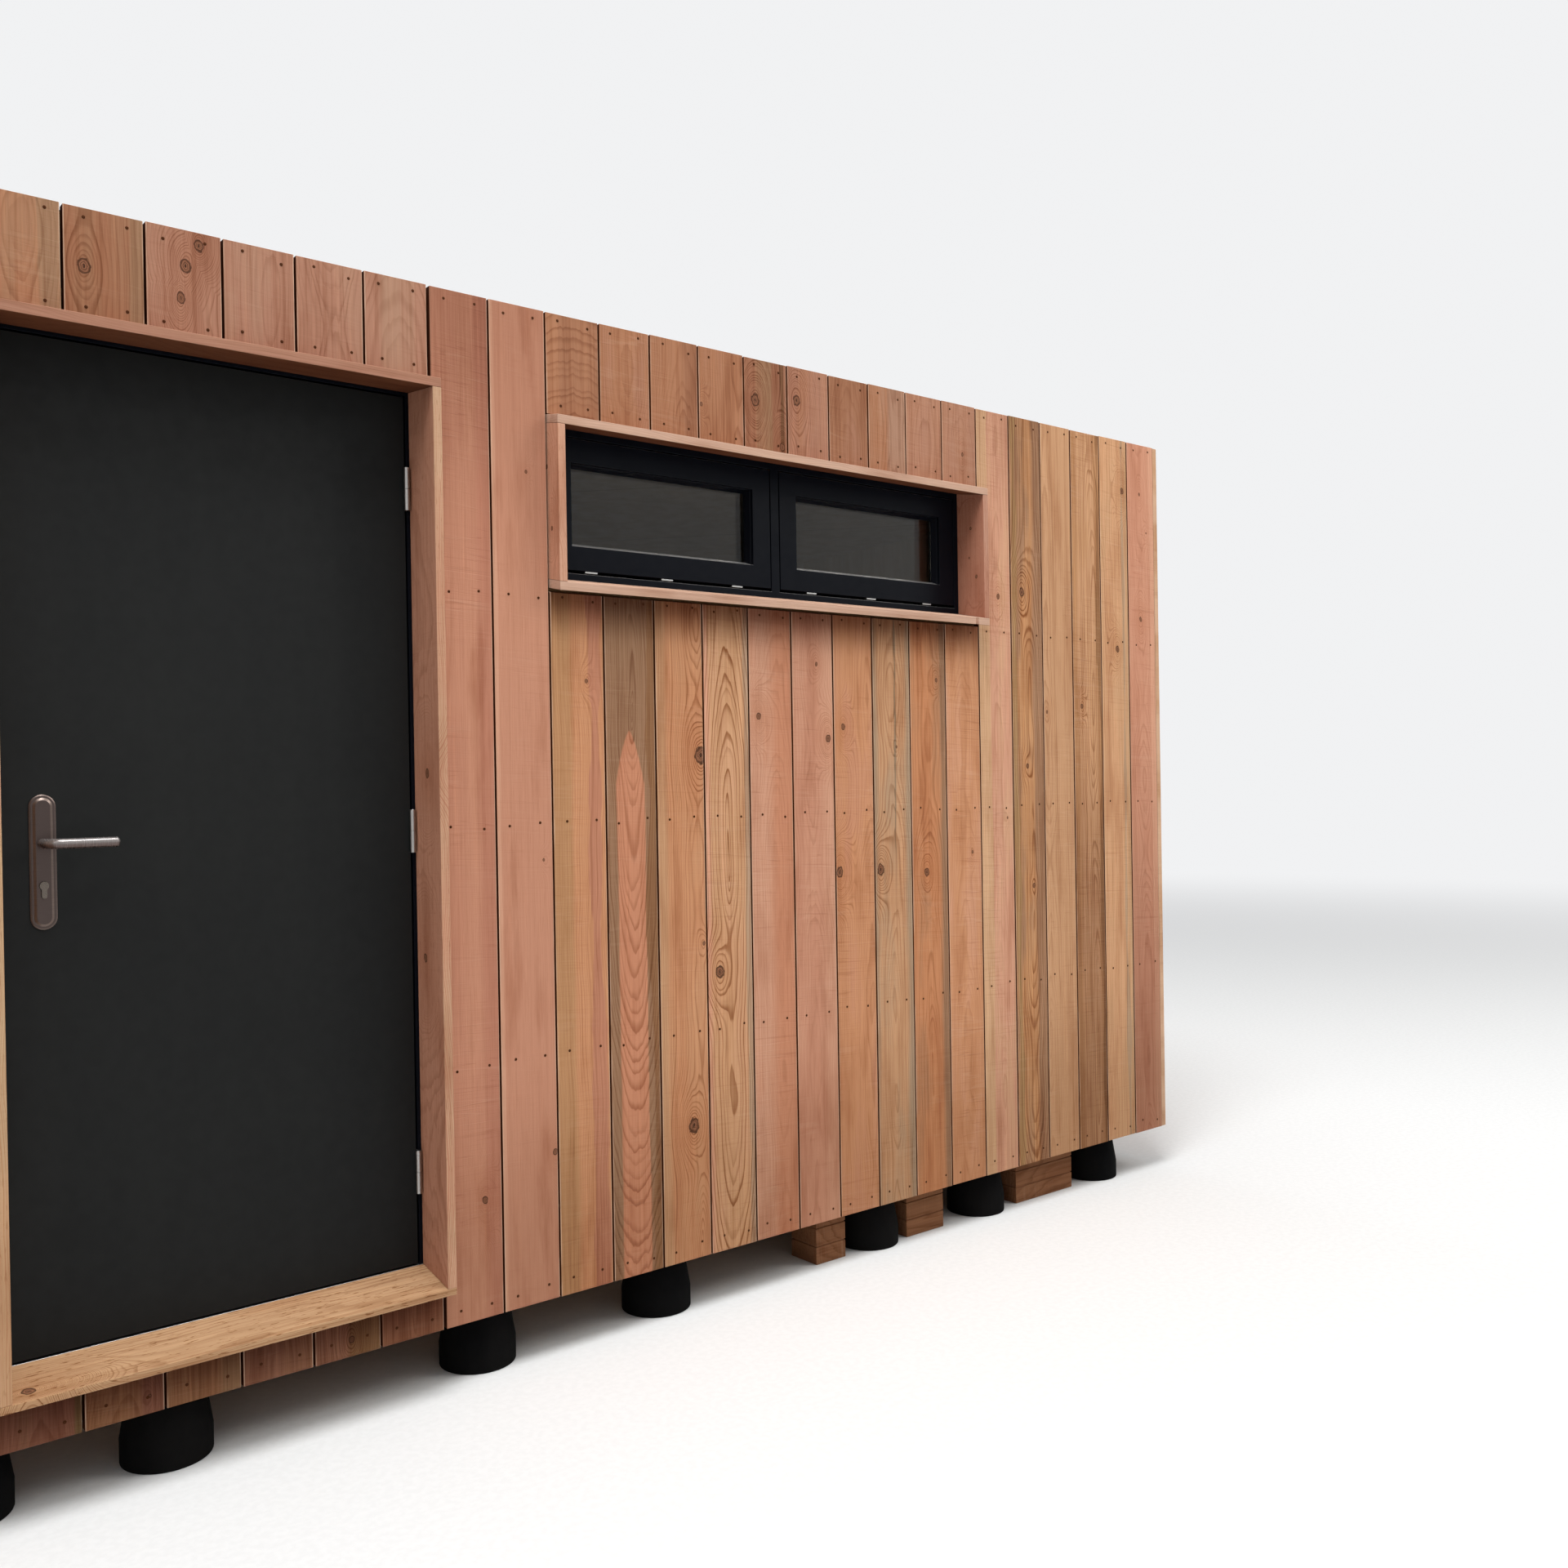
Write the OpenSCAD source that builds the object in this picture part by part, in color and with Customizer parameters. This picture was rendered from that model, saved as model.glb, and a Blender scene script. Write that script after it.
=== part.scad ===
// Garden office pod: a timber-framed room with vertical reddish boards, one flush door and one
// wide window of two top-hung sashes, standing on low pads. Millimetres, +Z up. The origin is
// the middle of the plan at ground level, and the front with the door faces -Y.

/* [Cladding] */
// Number of boards across the front
front_boards = 26; // [25:1:30]
// Number of boards along each side
side_boards = 17; // [14:1:22]
// Distance from one board to the next
board_pitch = 150; // [147:0.5:160]
// Open gap between two boards
board_gap = 4; // [2:0.5:8]
// Thickness of a board
board_t = 22; // [18:1:26]
// How far the boards hang below the floor frame
board_drop = 16; // [8:1:30]
// Thickness of the battens behind the boards
batten_t = 25; // [18:1:32]
// Height of a batten
batten_h = 50; // [40:1:55]
// How far the batten over the openings runs past them
batten_past = 120; // [60:5:200]
// Clearance of a board that is cut round a lining
cut_gap = 2; // [1:0.5:4]

/* [Walls and floor] */
// Thickness of an insulated wall panel
wall_t = 120; // [110:1:160]
// Height of the floor frame's top above the ground
frame_top_z = 251; // [240:1:265]
// Height of the floor joists
joist_h = 95; // [80:1:100]
// Thickness of a floor joist
joist_t = 45; // [38:1:50]
// Distance from one joist to the next
joist_pitch = 400; // [350:5:450]
// Thickness of the floor boards
deck_t = 18; // [15:1:20]
// Thickness of the bearer under the middle of the joists
bearer_h = 45; // [40:1:60]
// Width of the bearer
bearer_w = 95; // [80:1:120]

/* [Supports] */
// Diameter of a foundation pad at the ground
pad_d = 180; // [150:1:190]
// Diameter of a foundation pad at its top
pad_top_d = 150; // [120:1:150]
// Distance of the front and rear supports' middles behind the boards' faces
support_in = 115; // [105:1:130]
// Distance of the end pads' middles from the front's ends
end_pad_in = 260; // [180:5:320]
// Distances of the three inner front pads' middles from the front's left end
left_pads = [632, 1337, 1850]; // [600:1:1900]
// Distances of the two inner front pads' middles from the front's right end
right_pads = [830, 1295]; // [800:1:1320]
// Distances of the wide and the middling piers' middles from the front's right end
end_piers = [561, 1110]; // [540:1:1130]
// Distance of the narrow pier's middle from the front's right end
narrow_pier_in = 1488; // [1460:1:1520]
// Depth of a timber pier from front to back
pier_d = 110; // [90:1:120]
// Width of the narrow timber pier
pier_narrow = 110; // [90:1:130]
// Width of a middling timber pier
pier_w = 156; // [130:1:170]
// Width of a wide timber pier
pier_wide = 277; // [240:1:290]

/* [Door] */
// Width of the door leaf
leaf_w = 838; // [760:1:860]
// Height of the door leaf
leaf_h = 1981; // [1850:1:2100]
// Thickness of the door leaf
leaf_t = 44; // [40:1:54]
// Distance of the door lining's outer side from the left end of the front boards
door_from_left = 300; // [220:1:360]
// Clearance round the leaf
leaf_gap = 5; // [4:0.5:7]
// Extra clearance at the lock edge, where the leaf's corner swings out
lock_gap = 2; // [1.5:0.5:4]
// Width of door frame that shows between the leaf and the lining
door_frame_show = 7.5; // [5:0.5:12]
// Depth of the door frame from front to back
door_frame_d = 70; // [66:1:76]
// How far the door frame's stop laps behind the leaf
door_stop_lap = 10; // [8:1:16]
// Distance of the door's face behind the boards' faces
door_setback = 80; // [74:1:86]
// Slope of the door's sill board, in degrees
door_sill_slope = 11; // [8:0.5:13]
// Thickness of the door's sill board
door_sill_t = 15; // [12:1:20]
// Slope of the lining over the door, in degrees
door_head_slope = 5.5; // [3:0.5:8]

/* [Hinges] */
// Height of a hinge
hinge_h = 98; // [80:1:120]
// Diameter of a hinge's knuckle
knuckle_d = 14; // [12:0.5:15]
// Diameter of a hinge's pin
hinge_pin_d = 8; // [6:0.5:9]
// Distance of the pin in front of the leaf's face
pin_out = 8; // [7.8:0.1:9]
// Thickness of a hinge's flap
flap_t = 2; // [1.5:0.1:2]
// Width of a hinge's flap in the joint beside the leaf
flap_w = 30; // [24:1:34]
// Height of the outer hinges' middles from the leaf's ends
hinge_end = 210; // [150:1:300]

/* [Handle] */
// Distance of the handle's middle from the lock edge of the leaf
handle_in = 78.5; // [60:0.5:90]
// Height of the lever above the leaf's bottom
lever_z = 994; // [900:1:1100]
// Width of the handle plate
plate_w = 48; // [46:1:56]
// Height of the handle plate
plate_h = 263; // [240:1:280]
// Thickness of the handle plate
plate_t = 7; // [6:0.5:10]
// Width of the sloped rim round the handle plate's raised middle
plate_rim = 11; // [9:0.5:12]
// Height of the lever above the plate's middle
plate_drop = 36; // [30:1:50]
// Distance from the lever's middle down to the lock cylinder's barrel
cylinder_drop = 82; // [72:1:92]
// Diameter of the lock cylinder's barrel
barrel_d = 17; // [15:0.5:18]
// Height of the lock cylinder's keyhole-shaped section
cylinder_h = 33; // [28:0.5:34]
// Width of the section's lower part
cylinder_w = 10; // [8:0.5:11]
// Diameter of the lever's round bar
lever_d = 20; // [16:1:21]
// Length of the lever from its pivot
lever_len = 128; // [110:1:140]
// Distance of the lever bar's middle from the handle plate
lever_out = 40; // [36:1:52]
// Radius of the lever's bend between its neck and its bar
lever_bend = 28; // [22:1:32]

/* [Window] */
// Width of the window over its lining
window_w = 1496; // [1300:1:1500]
// Height between the sill and the head at the frame
window_clear_h = 371; // [320:1:420]
// Height of the window's top below the door's top
window_below_door = 27.3; // [22:0.1:60]
// Distance of the window lining's outer side from the left end of the front boards
window_from_left = 1502; // [1490:1:1520]
// Distance of the window frame's face behind the boards' faces
window_setback = 62; // [58:1:75]
// Depth of the window frame from front to back
window_frame_d = 70; // [66:1:80]
// Width of window frame that shows inside the lining
window_frame_show = 17; // [14:1:20]
// Width of the mullion that shows between the sashes' joints
mullion_show = 29; // [24:1:36]
// How far the window frame laps behind a sash
sash_lap = 12; // [8:1:16]
// Width of a sash's rails and stiles
sash_rail = 60; // [50:1:66]
// Depth of a sash from front to back
sash_d = 50; // [46:1:54]
// Open joint round a sash
sash_gap = 3; // [2:0.5:4]
// Open joint under a sash, where the clips sit
sash_foot_gap = 8; // [7:0.5:11]
// Width of the sloped bead round the glass, where it meets the glass
bead_w = 10; // [7:0.5:12]
// Width of the sloped bead at its front edge
bead_front_w = 2; // [1:0.5:4]
// Depth of the bead's front edge behind the sash's face
bead_in = 10; // [6:1:14]
// Depth of the glass behind the sash's face
glass_in = 28; // [24:1:30]
// Thickness of the glass unit
glass_t = 16; // [12:1:18]
// Slope of the window's sill board, in degrees
window_sill_slope = 11.5; // [9:0.5:13]
// Slope of the lining over the window, in degrees
window_head_slope = 10; // [7:0.5:12]
// Width of a clip under a sash
clip_w = 36; // [24:1:40]
// Height of a clip under a sash
clip_h = 5; // [3:0.5:6]
// Distance of the outer clips' middles from the sash's ends
clip_in = 115; // [80:1:140]

/* [Linings] */
// Thickness of a lining board
lining_t = 21; // [18:1:24]
// How far the linings stand out in front of the boards
lining_out = 48.5; // [40:0.5:55]
// Width of the small notch in the window sill's front edge
notch_w = 13; // [8:1:18]
// Depth of the notch
notch_d = 12; // [6:1:16]
// Distance of the notch from the window's right lining
notch_in = 27; // [15:1:60]

/* [Roof] */
// Height of the wall between the top of the door's lining and the roof panel
lintel_h = 52.4; // [45:0.1:120]
// Thickness of the roof panel
roof_t = 100; // [90:1:110]
// Fall of the roof from front to rear
roof_fall = 60; // [40:1:70]
// Height of the kerb over the roof's front edge
kerb_h = 45; // [38:1:50]
// Thickness of a kerb
kerb_t = 45; // [38:1:50]
// Depth of the roof trim below the boards' tops
trim_drop = 8; // [5:0.5:12]
// Thickness of the roof trim
trim_t = 3; // [2:0.5:4]
// Depth of the roof trim's inner flange
trim_flange = 25; // [15:1:30]
// Thickness of the roof membrane
membrane_t = 3; // [2:0.5:4]
// How far the membrane reaches past the rear boards
membrane_lap = 20; // [12:1:30]

/* [Gutter] */
// Outer diameter of the half-round gutter
gutter_d = 112; // [100:1:125]
// Wall thickness of the gutter and its pipe
gutter_wall = 3; // [2:0.5:4]
// Depth of the gutter's rim below the roof's rear edge
gutter_drop = 12; // [8:1:20]
// Outer diameter of the rainwater pipe
pipe_d = 68; // [60:1:75]
// Height of the rainwater pipe's foot above the ground
pipe_foot_z = 60; // [40:1:90]
// Distance of the rainwater pipe's middle from the rear's right end
pipe_in = 160; // [120:5:250]
// Number of gutter brackets
bracket_count = 5; // [4:1:8]
// Distance of the end brackets' middles from the rear's ends
bracket_in = 150; // [60:5:250]
// Width of a bracket or a pipe clip
bracket_w = 25; // [20:1:35]
// Thickness of a bracket or a pipe clip
bracket_t = 4; // [3:0.5:6]
// Distance of the end pipe clips from the pipe's ends
clip_from_end = 300; // [200:5:400]

/* [Hidden] */
$fn = 48;
over = 1;              // how far a cut runs past a face
seat = 0.3;            // clearance of a curved piece at its seat, and of a cut
fit = 0.05;            // running fit of a pin, and of faces that meet on the roof's slope

// Plan
front_w = front_boards * board_pitch;
depth = side_boards * board_pitch;
face_y = -depth / 2;
cavity = board_t + batten_t;
wall_y = face_y + cavity;
room_y = wall_y + wall_t;
side_x = front_w / 2;
wall_x = side_x - batten_t;
room_x = wall_x - wall_t;

// Heights of the floor and of the boards' lower ends
rim_foot_z = frame_top_z - joist_h;
board_foot_z = rim_foot_z - board_drop;
deck_top_z = frame_top_z + deck_t;

// A height rounded to a hundredth, so that the faces of different pieces meet exactly
function rounded(v) = round(v * 100) / 100;

// Door, across and up
door_x0 = -side_x + door_from_left;
leaf_x0 = door_x0 + lining_t + door_frame_show + leaf_gap + lock_gap;
leaf_x1 = leaf_x0 + leaf_w;
door_x1 = leaf_x1 + leaf_gap + door_frame_show + lining_t;
leaf_y = face_y + door_setback;
function door_sill_under(y) = frame_top_z + seat + (y - cavity) * tan(door_sill_slope);
function door_sill_top(y) = door_sill_under(y) + door_sill_t / cos(door_sill_slope);
threshold_top_z = rounded(door_sill_top(door_setback));
leaf_z0 = threshold_top_z + leaf_gap;
leaf_z1 = leaf_z0 + leaf_h;
function door_head_under(y) =
    leaf_z1 + leaf_gap + door_frame_show + (y - door_setback) * tan(door_head_slope);
function door_head_top(y) = door_head_under(y) + lining_t / cos(door_head_slope);
door_top_z = rounded(door_head_top(door_setback));

// Hinges
pin_x = leaf_x1 + leaf_gap / 2;
pin_y = leaf_y - pin_out;
hinge_zs = [leaf_z0 + hinge_end, (leaf_z0 + leaf_z1) / 2, leaf_z1 - hinge_end];

// Handle
handle_x = leaf_x0 + handle_in;
handle_z = leaf_z0 + lever_z;
plate_z = handle_z - plate_drop;
cylinder_z = handle_z - cylinder_drop;
neck_r = lever_d / 2;
neck_gap = 1.5;
cylinder_proud = 3;

// Window, across and up
window_x0 = -side_x + window_from_left;
window_x1 = window_x0 + window_w;
window_mid = (window_x0 + window_x1) / 2;
frame_y = face_y + window_setback;
window_z1 = rounded(door_top_z - window_below_door);
window_sill_z = rounded(window_z1 - lining_t / cos(window_head_slope) - window_clear_h);
function window_sill_top(y) = window_sill_z + (y - window_setback) * tan(window_sill_slope);
function window_sill_under(y) = window_sill_top(y) - lining_t / cos(window_sill_slope);
function window_head_under(y) =
    window_sill_z + window_clear_h + (y - window_setback) * tan(window_head_slope);
function window_head_top(y) = window_head_under(y) + lining_t / cos(window_head_slope);
window_z0 = rounded(window_sill_under(cavity));
sash_z0 = window_sill_z + window_frame_show + sash_foot_gap;
sash_z1 = window_sill_z + window_clear_h - window_frame_show - sash_gap;
sash_w = window_w / 2 - lining_t - window_frame_show - sash_gap - mullion_show / 2 - sash_gap;
sash_xs = [window_mid - mullion_show / 2 - sash_gap - sash_w, window_mid + mullion_show / 2 + sash_gap];

// Roof, from the door's top up
roof_front_z = rounded(door_top_z + lintel_h + roof_t);
kerb_top_z = roof_front_z + kerb_h;
trim_top_z = kerb_top_z + trim_t;
board_top_z = trim_top_z + trim_drop;

// Height of the roof panel's top at a distance y from the plan's middle
function roof_z(y) = roof_front_z - roof_fall * (y - wall_y) / (-2 * wall_y);

rear_top_z = rounded(roof_z(-face_y) - seat);

// Rows of battens, by their middles: the second and third share the height up to the window
foot_row_z = rim_foot_z + batten_h / 2;
sill_row_z = window_z0 - seat - batten_h / 2;
row_step = rounded((sill_row_z - foot_row_z) / 3);
low_rows = [foot_row_z, foot_row_z + row_step, foot_row_z + 2 * row_step, sill_row_z];
top_row_z = kerb_top_z - seat - batten_h / 2;
head_row_z = door_top_z + seat + batten_h / 2;
rear_row_z = rear_top_z - batten_h / 2;

// Gutter
gutter_y = -face_y + gutter_d / 2 + bracket_t + 2 * seat;
gutter_z = rear_top_z - gutter_drop;
pipe_x = side_x - pipe_in;

// Extrudes a profile drawn in Y and Z along X
module along_x(x0, x1) {
    translate([x0, 0, 0])
        rotate([90, 0, 90])
            linear_extrude(x1 - x0)
                children();
}

// Extrudes a profile drawn in X and Z along Y
module along_y(y0, y1) {
    translate([0, y1, 0])
        rotate([90, 0, 0])
            linear_extrude(y1 - y0)
                children();
}

// A box between two corners
module block(low, high) {
    translate(low)
        cube(high - low);
}

// One foundation pad, round with a soft upper edge
module pad(height) {
    edge = 12;
    rotate_extrude($fn = 24)
        polygon([
            [0, 0], [pad_d / 2, 0], [pad_d / 2, height / 3],
            [pad_top_d / 2, height - edge], [pad_top_d / 2 - edge, height], [0, height]
        ]);
}

end_pad_x = side_x - end_pad_in;
front_pad_xs = [
    -end_pad_x, left_pads[0] - side_x, left_pads[1] - side_x, left_pads[2] - side_x,
    side_x - right_pads[1], side_x - right_pads[0], end_pad_x
];
row_pad_xs = [-end_pad_x, -end_pad_x / 2, 0, end_pad_x / 2, end_pad_x];
// Each pier's place along the front, and its width
piers = [
    [side_x - narrow_pier_in, pier_narrow],
    [side_x - end_piers[1], pier_w], [side_x - end_piers[0], pier_wide]
];

module foundation_pads() {
    color([0.09, 0.09, 0.09]) {
        for (x = front_pad_xs)
            translate([x, face_y + support_in, 0])
                pad(rim_foot_z);
        for (x = row_pad_xs) {
            translate([x, 0, 0])
                pad(rim_foot_z - bearer_h);
            translate([x, -face_y - support_in, 0])
                pad(rim_foot_z);
        }
    }
}

// A pier of three timbers laid on each other, drawn as one piece with grooves at the joints
module pier(width) {
    layers = 3;
    groove = 3;
    layer_h = rim_foot_z / layers;
    for (i = [0 : layers - 1])
        translate([-width / 2, -pier_d / 2, i * layer_h])
            cube([width, pier_d, layer_h - groove]);
    translate([-width / 2 + groove, -pier_d / 2 + groove, 0])
        cube([width - 2 * groove, pier_d - 2 * groove, rim_foot_z]);
}

module timber_piers() {
    color([0.55, 0.30, 0.18])
        for (one = piers)
            translate([one[0], face_y + support_in, 0])
                pier(one[1]);
}

module middle_bearer() {
    color([0.60, 0.45, 0.30])
        block([-wall_x, -bearer_w / 2, rim_foot_z - bearer_h], [wall_x, bearer_w / 2, rim_foot_z]);
}

module long_rims() {
    color([0.60, 0.45, 0.30])
        for (y = [wall_y, -wall_y - joist_t])
            translate([-wall_x, y, rim_foot_z])
                cube([2 * wall_x, joist_t, joist_h]);
}

module end_rims() {
    color([0.60, 0.45, 0.30])
        for (x = [-wall_x, wall_x - joist_t])
            translate([x, wall_y + joist_t, rim_foot_z])
                cube([joist_t, -2 * (wall_y + joist_t), joist_h]);
}

module floor_joists() {
    reach = wall_x - 1.5 * joist_t;
    steps = floor((reach - joist_pitch / 2) / joist_pitch);
    color([0.60, 0.45, 0.30])
        for (i = [-steps - 1 : steps])
            translate([(i + 0.5) * joist_pitch - joist_t / 2, wall_y + joist_t, rim_foot_z])
                cube([joist_t, -2 * (wall_y + joist_t), joist_h]);
}

module floor_deck() {
    color([0.72, 0.58, 0.40])
        block([-room_x, room_y, frame_top_z], [room_x, -room_y, deck_top_z]);
}

// What lies under the roof panel, between two places along Y
module under_roof(x0, x1, y0, y1, z0) {
    along_x(x0, x1)
        polygon([
            [y0, z0], [y1, z0],
            [y1, roof_z(y1) - roof_t - fit], [y0, roof_z(y0) - roof_t - fit]
        ]);
}

module front_wall(x0, x1, z0) {
    under_roof(x0, x1, wall_y, room_y, z0);
}

// The three full-height panels of the front wall
module front_wall_panels() {
    color([0.80, 0.76, 0.68]) {
        front_wall(-wall_x, door_x0, frame_top_z);
        front_wall(door_x1, window_x0, frame_top_z);
        front_wall(window_x1, wall_x, frame_top_z);
    }
}

// The front wall over the door, over the window and under it
module front_wall_infills() {
    color([0.80, 0.76, 0.68]) {
        front_wall(door_x0, door_x1, door_top_z);
        front_wall(window_x0, window_x1, window_z1);
        block([window_x0, wall_y, frame_top_z], [window_x1, room_y, window_z0]);
    }
}

module rear_wall() {
    color([0.80, 0.76, 0.68])
        under_roof(-wall_x, wall_x, -room_y, -wall_y, frame_top_z);
}

module side_walls() {
    color([0.80, 0.76, 0.68]) {
        under_roof(-wall_x, -room_x, room_y, -room_y, frame_top_z);
        under_roof(room_x, wall_x, room_y, -room_y, frame_top_z);
    }
}

// The space that the door's linings take in the boards and battens, with a clearance
module door_cut(gap) {
    y0 = -lining_out;
    y1 = cavity + over;
    along_x(door_x0 - gap, door_x1 + gap)
        translate([face_y, 0])
            polygon([
                [y0, door_sill_under(y0) - gap], [y1, door_sill_under(y1) - gap],
                [y1, door_head_top(y1) + gap], [y0, door_head_top(y0) + gap]
            ]);
}

module window_cut(gap) {
    y0 = -lining_out;
    y1 = cavity + over;
    along_x(window_x0 - gap, window_x1 + gap)
        translate([face_y, 0])
            polygon([
                [y0, window_sill_under(y0) - gap], [y1, window_sill_under(y1) - gap],
                [y1, window_head_top(y1) + gap], [y0, window_head_top(y0) + gap]
            ]);
}

module front_battens() {
    color([0.45, 0.36, 0.27])
        difference() {
            union() {
                for (z = concat(low_rows, [top_row_z]))
                    block([-side_x, face_y + board_t, z - batten_h / 2],
                          [side_x, wall_y, z + batten_h / 2]);
                block([door_x0 - batten_past, face_y + board_t, head_row_z - batten_h / 2],
                      [window_x1 + batten_past, wall_y, head_row_z + batten_h / 2]);
            }
            door_cut(seat);
            window_cut(seat);
        }
}

module rear_battens() {
    color([0.45, 0.36, 0.27])
        for (z = concat(low_rows, [rear_row_z]))
            block([-side_x, -wall_y, z - batten_h / 2], [side_x, -face_y - board_t, z + batten_h / 2]);
}

module side_battens() {
    color([0.45, 0.36, 0.27])
        for (side = [-1, 1], z = concat(low_rows, [top_row_z]))
            translate([side * (side_x - batten_t / 2), 0, z])
                cube([batten_t, -2 * wall_y, batten_h], center = true);
}

// A row of boards along X, from the boards' foot up to a height
module board_row(count, top_z) {
    for (i = [0 : count - 1])
        translate([i * board_pitch + board_gap / 2, 0, board_foot_z])
            cube([board_pitch - board_gap, board_t, top_z - board_foot_z]);
}

module front_cladding() {
    color([0.76, 0.52, 0.38])
        difference() {
            translate([-side_x, face_y, 0])
                board_row(front_boards, board_top_z);
            door_cut(cut_gap);
            window_cut(cut_gap);
        }
}

module rear_cladding() {
    color([0.76, 0.52, 0.38])
        translate([-side_x, -face_y - board_t, 0])
            board_row(front_boards, rear_top_z);
}

module left_cladding() {
    color([0.76, 0.52, 0.38])
        translate([-side_x, face_y, 0])
            rotate([0, 0, 90])
                board_row(side_boards, board_top_z);
}

module right_cladding() {
    color([0.76, 0.52, 0.38])
        translate([side_x, -face_y, 0])
            rotate([0, 0, -90])
                board_row(side_boards, board_top_z);
}

module door_jamb(x0) {
    y0 = -lining_out;
    y1 = door_setback;
    along_x(x0, x0 + lining_t)
        translate([face_y, 0])
            polygon([
                [y0, door_sill_top(y0)], [y1, door_sill_top(y1)],
                [y1, door_head_under(y1)], [y0, door_head_under(y0)]
            ]);
}

module door_jamb_linings() {
    color([0.78, 0.62, 0.45]) {
        door_jamb(door_x0);
        door_jamb(door_x1 - lining_t);
    }
}

module door_head_lining() {
    y0 = -lining_out;
    y1 = door_setback;
    color([0.78, 0.60, 0.44])
        along_x(door_x0, door_x1)
            translate([face_y, 0])
                polygon([
                    [y0, door_head_under(y0)], [y1, door_head_under(y1)],
                    [y1, door_head_top(y1)], [y0, door_head_top(y0)]
                ]);
}

module door_sill() {
    y0 = -lining_out;
    y1 = door_setback;
    color([0.80, 0.66, 0.50])
        along_x(door_x0, door_x1)
            translate([face_y, 0])
                polygon([
                    [y0, door_sill_under(y0)], [y1, door_sill_under(y1)],
                    [y1, door_sill_top(y1)], [y0, door_sill_top(y0)]
                ]);
}

module window_jamb(x0) {
    y0 = -lining_out;
    y1 = window_setback;
    along_x(x0, x0 + lining_t)
        translate([face_y, 0])
            polygon([
                [y0, window_sill_top(y0)], [y1, window_sill_top(y1)],
                [y1, window_head_under(y1)], [y0, window_head_under(y0)]
            ]);
}

module window_jamb_linings() {
    color([0.78, 0.58, 0.44]) {
        window_jamb(window_x0);
        window_jamb(window_x1 - lining_t);
    }
}

module window_head_lining() {
    y0 = -lining_out;
    y1 = window_setback;
    color([0.78, 0.58, 0.44])
        along_x(window_x0, window_x1)
            translate([face_y, 0])
                polygon([
                    [y0, window_head_under(y0)], [y1, window_head_under(y1)],
                    [y1, window_head_top(y1)], [y0, window_head_top(y0)]
                ]);
}

module window_sill() {
    y0 = -lining_out;
    y1 = window_setback;
    notch_x = window_x1 - lining_t - notch_in;
    color([0.78, 0.58, 0.44])
        difference() {
            along_x(window_x0, window_x1)
                translate([face_y, 0])
                    polygon([
                        [y0, window_sill_under(y0)], [y1, window_sill_under(y1)],
                        [y1, window_sill_top(y1)], [y0, window_sill_top(y0)]
                    ]);
            block([notch_x - notch_w, face_y - lining_out - over, window_sill_under(y0) - over],
                  [notch_x, face_y - lining_out + notch_d, window_sill_top(y1)]);
        }
}

// The door frame's face: two jambs and a head, round an opening
module door_frame_face(left, right, top) {
    difference() {
        translate([door_x0, threshold_top_z])
            square([door_x1 - door_x0, door_top_z - threshold_top_z]);
        translate([left, threshold_top_z - over])
            square([right - left, top - threshold_top_z + over]);
    }
}

module door_frame() {
    stop_y = leaf_y + leaf_t + leaf_gap;
    color([0.07, 0.07, 0.08]) {
        along_y(leaf_y, stop_y)
            door_frame_face(leaf_x0 - leaf_gap - lock_gap, leaf_x1 + leaf_gap, leaf_z1 + leaf_gap);
        along_y(stop_y, leaf_y + door_frame_d)
            door_frame_face(leaf_x0 + door_stop_lap, leaf_x1 - door_stop_lap, leaf_z1 - door_stop_lap);
    }
}

module door_threshold() {
    color([0.62, 0.62, 0.60])
        block([door_x0, leaf_y, frame_top_z], [door_x1, room_y, threshold_top_z]);
}

// Half of a hinge: a knuckle, and a flap that reaches back into the joint beside the leaf
module hinge_half(flap_x, lower) {
    half_h = hinge_h / 2 - seat;
    knuckle_z = lower ? -hinge_h / 2 : seat;
    translate([pin_x, pin_y, knuckle_z])
        cylinder(d = knuckle_d, h = half_h);
    translate([flap_x, pin_y, knuckle_z])
        cube([flap_t, pin_out + over, half_h]);
    translate([flap_x, leaf_y, -hinge_h / 2])
        cube([flap_t, flap_w, hinge_h]);
}

module hinge_frame_halves() {
    color([0.72, 0.72, 0.72])
        for (z = hinge_zs)
            translate([0, 0, z]) {
                hinge_half(leaf_x1 + leaf_gap - flap_t, true);
                translate([pin_x, pin_y, -hinge_h / 2])
                    cylinder(d = hinge_pin_d, h = hinge_h - 6);
            }
}

module hinge_leaf_halves() {
    color([0.72, 0.72, 0.72])
        for (z = hinge_zs)
            translate([0, 0, z])
                difference() {
                    hinge_half(leaf_x1, false);
                    translate([pin_x, pin_y, -hinge_h / 2])
                        cylinder(d = hinge_pin_d + 2 * fit, h = hinge_h - 6 + seat);
                }
}

// The keyhole-shaped section of the lock cylinder, grown by a clearance
module cylinder_outline(grow) {
    foot_z = barrel_d / 2 + cylinder_w / 2 - cylinder_h;
    circle(barrel_d / 2 + grow);
    translate([0, foot_z])
        circle(cylinder_w / 2 + grow);
    translate([-cylinder_w / 2 - grow, foot_z])
        square([cylinder_w + 2 * grow, -foot_z]);
}

module door_leaf() {
    color([0.07, 0.07, 0.08])
        difference() {
            block([leaf_x0, leaf_y, leaf_z0], [leaf_x1, leaf_y + leaf_t, leaf_z1]);
            translate([handle_x, leaf_y - over, handle_z])
                rotate([-90, 0, 0])
                    cylinder(r = neck_r + neck_gap, h = leaf_t + 2 * over);
            along_y(leaf_y - over, leaf_y + leaf_t + over)
                translate([handle_x, cylinder_z])
                    cylinder_outline(seat);
        }
}

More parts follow.
